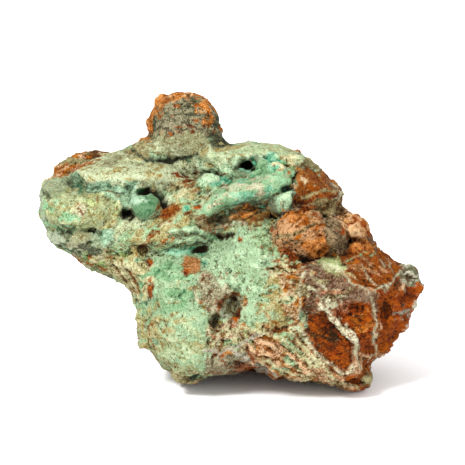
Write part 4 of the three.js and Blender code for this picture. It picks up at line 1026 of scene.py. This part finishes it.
def stone_material():
    """One material for the whole stone, led by the finishes laid on its mesh and by how far each point
    stands out, which paints light on crests and shade in creases.
    """
    bench = Bench("moonstone_crust")
    place = bench.node("ShaderNodeTexCoord", output=OBJECT_PLACE)
    fibrous = bench.number("fibrous")
    raised = bench.number("raised")
    dry = 1 - bench.number("wet")

    # The grain: crumbs, or strands where a finish is fibrous.
    falls = bench.eased(fibrous, 0.0, 0.8)
    rises = bench.eased(fibrous * -1, 0.0, 0.8)
    crumbs = bench.noise(place, 1.2, 3.0, 0.65, 1.2)
    falling = bench.noise(bench.stretched(place, FALL), 0.8, 3.0, 0.65, 0.4)
    rising = bench.noise(bench.stretched(place, -RISE), 0.8, 3.0, 0.65, 0.4)
    grain = crumbs * (1 - falls - rises) + falling * falls + rising * rises
    fine = bench.noise(place, 0.45, 2.0, 0.7)
    patches = bench.noise(place, 5.0, 2.0, 0.5)

    # The finish's own tones come first, with painted light on crests and painted shade in creases, led by
    # how far each point stands out. Its specks go over them. Then come dark pore specks, drawn more in
    # creases and cavities as painted shade, and small painted glint specks as highlights.
    shade = grain * 0.4 + fine * 0.45 + patches * 0.15 + raised * 0.07
    darker = bench.eased(shade, *DARK_TO_MIDDLE)
    lighter = bench.eased(shade, *MIDDLE_TO_LIGHT)
    colour = bench.mix(darker, bench.colour("dark"), bench.colour("middle"))
    colour = bench.mix(lighter, colour, bench.colour("light"))
    specks = bench.noise(place, 1.6, 3.0, 0.7) + bench.number("specked") * 0.25
    colour = bench.mix(bench.eased(specks, *SPECK_EDGE) * 0.8, colour, bench.colour("speck"))
    pores_and_hollow_shade = bench.eased(bench.noise(place, 0.7, 2.0, 0.6) - raised * 0.1, *PORE_AND_SHADE_EDGE)
    colour = bench.mix(pores_and_hollow_shade * dry * 0.85, colour, PORE_AND_SHADE_TONE)
    painted_glints = bench.eased(bench.noise(place, 0.5, 1.0, 0.5) + raised * 0.06, *PAINTED_GLINT_EDGE)
    bright = bench.mix(1.0, bench.colour("light"), PAINTED_GLINT_GAIN, "MULTIPLY")
    colour = bench.mix(painted_glints * dry * 0.8, colour, bright)
    # Painted shade: creases and cavities are darkened towards a very dark tone by how far they sink.
    colour = bench.mix(bench.eased(raised, -1.3, 0.0) * 0.5 + 0.5, PAINTED_CREASE_SHADE, colour)

    height = grain * 0.5 + fine * 0.35 - pores_and_hollow_shade * 0.25
    bump = bench.node(
        "ShaderNodeBump",
        values={"Strength": 1.0, "Distance": 1.6 * MM, "Height": height * (dry * 0.75 + 0.25)},
    )
    return bench.finish({
        "Base Color": colour,
        "Roughness": dry * 0.5 + 0.35,
        "Specular IOR Level": 0.08,
        "Normal": bump,
    })


def plain_material(name, colour):
    """A plain matt material."""
    return Bench(name).finish({
        "Base Color": (*colour, 1.0),
        "Roughness": 0.9,
        "Specular IOR Level": 0.1,
    })


def new_object(name, data):
    """An object with the given data, put into the scene."""
    made = bpy.data.objects.new(name, data)
    bpy.context.scene.collection.objects.link(made)
    return made


def fine_mesh():
    """The solid's mesh with its points merged, remade in even fine facets."""
    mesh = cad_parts[NODE].data.copy()
    shell = bmesh.new()
    shell.from_mesh(mesh)
    bmesh.ops.remove_doubles(shell, verts=shell.verts, dist=1e-6)
    shell.to_mesh(mesh)
    shell.free()
    rough = new_object("rough_stone", mesh)
    remesh = rough.modifiers.new("even_facets", "REMESH")
    remesh.mode = "VOXEL"
    remesh.voxel_size = FACET_SIZE * MM
    ready = rough.evaluated_get(bpy.context.evaluated_depsgraph_get())
    fine = bpy.data.meshes.new_from_object(ready)
    bpy.data.objects.remove(rough)
    return fine


def build_stone():
    """The stone, in place of the solid."""
    stone = new_object("green_moonstone", fine_mesh())
    work_stone(stone.data)
    stone.data.materials.clear()
    stone.data.materials.append(stone_material())
    stone.data.shade_smooth()
    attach(stone, "root")
    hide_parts(NODE)


def build_floor():
    """A wide pale floor under the stone."""
    shape = bmesh.new()
    bmesh.ops.create_grid(shape, x_segments=1, y_segments=1, size=FLOOR_REACH)
    mesh = bpy.data.meshes.new("floor")
    shape.to_mesh(mesh)
    shape.free()
    floor = new_object("floor", mesh)
    mesh.materials.append(plain_material("pale_floor", (0.95, 0.95, 0.95)))


def facing_back(place, away):
    """A placement at the given place that looks back against the given line."""
    return Matrix.Translation(place) @ away.to_track_quat("Z", "Y").to_matrix().to_4x4()


def set_camera():
    """A long lens from the photograph's side, 15 degrees above level."""
    data = bpy.data.cameras.new("camera")
    data.sensor_width = 36
    data.lens = data.sensor_width * CAMERA_DISTANCE / (VIEW_WIDTH * MM)
    data.clip_end = 20
    camera = new_object("camera", data)
    away = Vector((0, -math.cos(LEAN), math.sin(LEAN)))
    middle = Vector(VIEW_MIDDLE) * MM
    camera.matrix_world = facing_back(middle + away * CAMERA_DISTANCE, away)
    bpy.context.scene.camera = camera


def set_lights():
    """A white studio: light all round, a key from above on the left, a weak fill on the right."""
    world = bpy.data.worlds.new("studio")
    world.use_nodes = True
    background = world.node_tree.nodes["Background"]
    background.inputs["Color"].default_value = (1.0, 1.0, 1.0, 1.0)
    background.inputs["Strength"].default_value = SKY_STRENGTH
    bpy.context.scene.world = world
    for name, (place, size, power) in LIGHTS.items():
        data = bpy.data.lights.new(name, "AREA")
        data.shape = "SQUARE"
        data.size = size
        data.energy = power
        light = new_object(name, data)
        light.matrix_world = facing_back(Vector(place), Vector(place) - LIGHT_AIM)
    bpy.context.scene.view_settings.view_transform = "Standard"


set_camera()
set_lights()
build_floor()
build_stone()
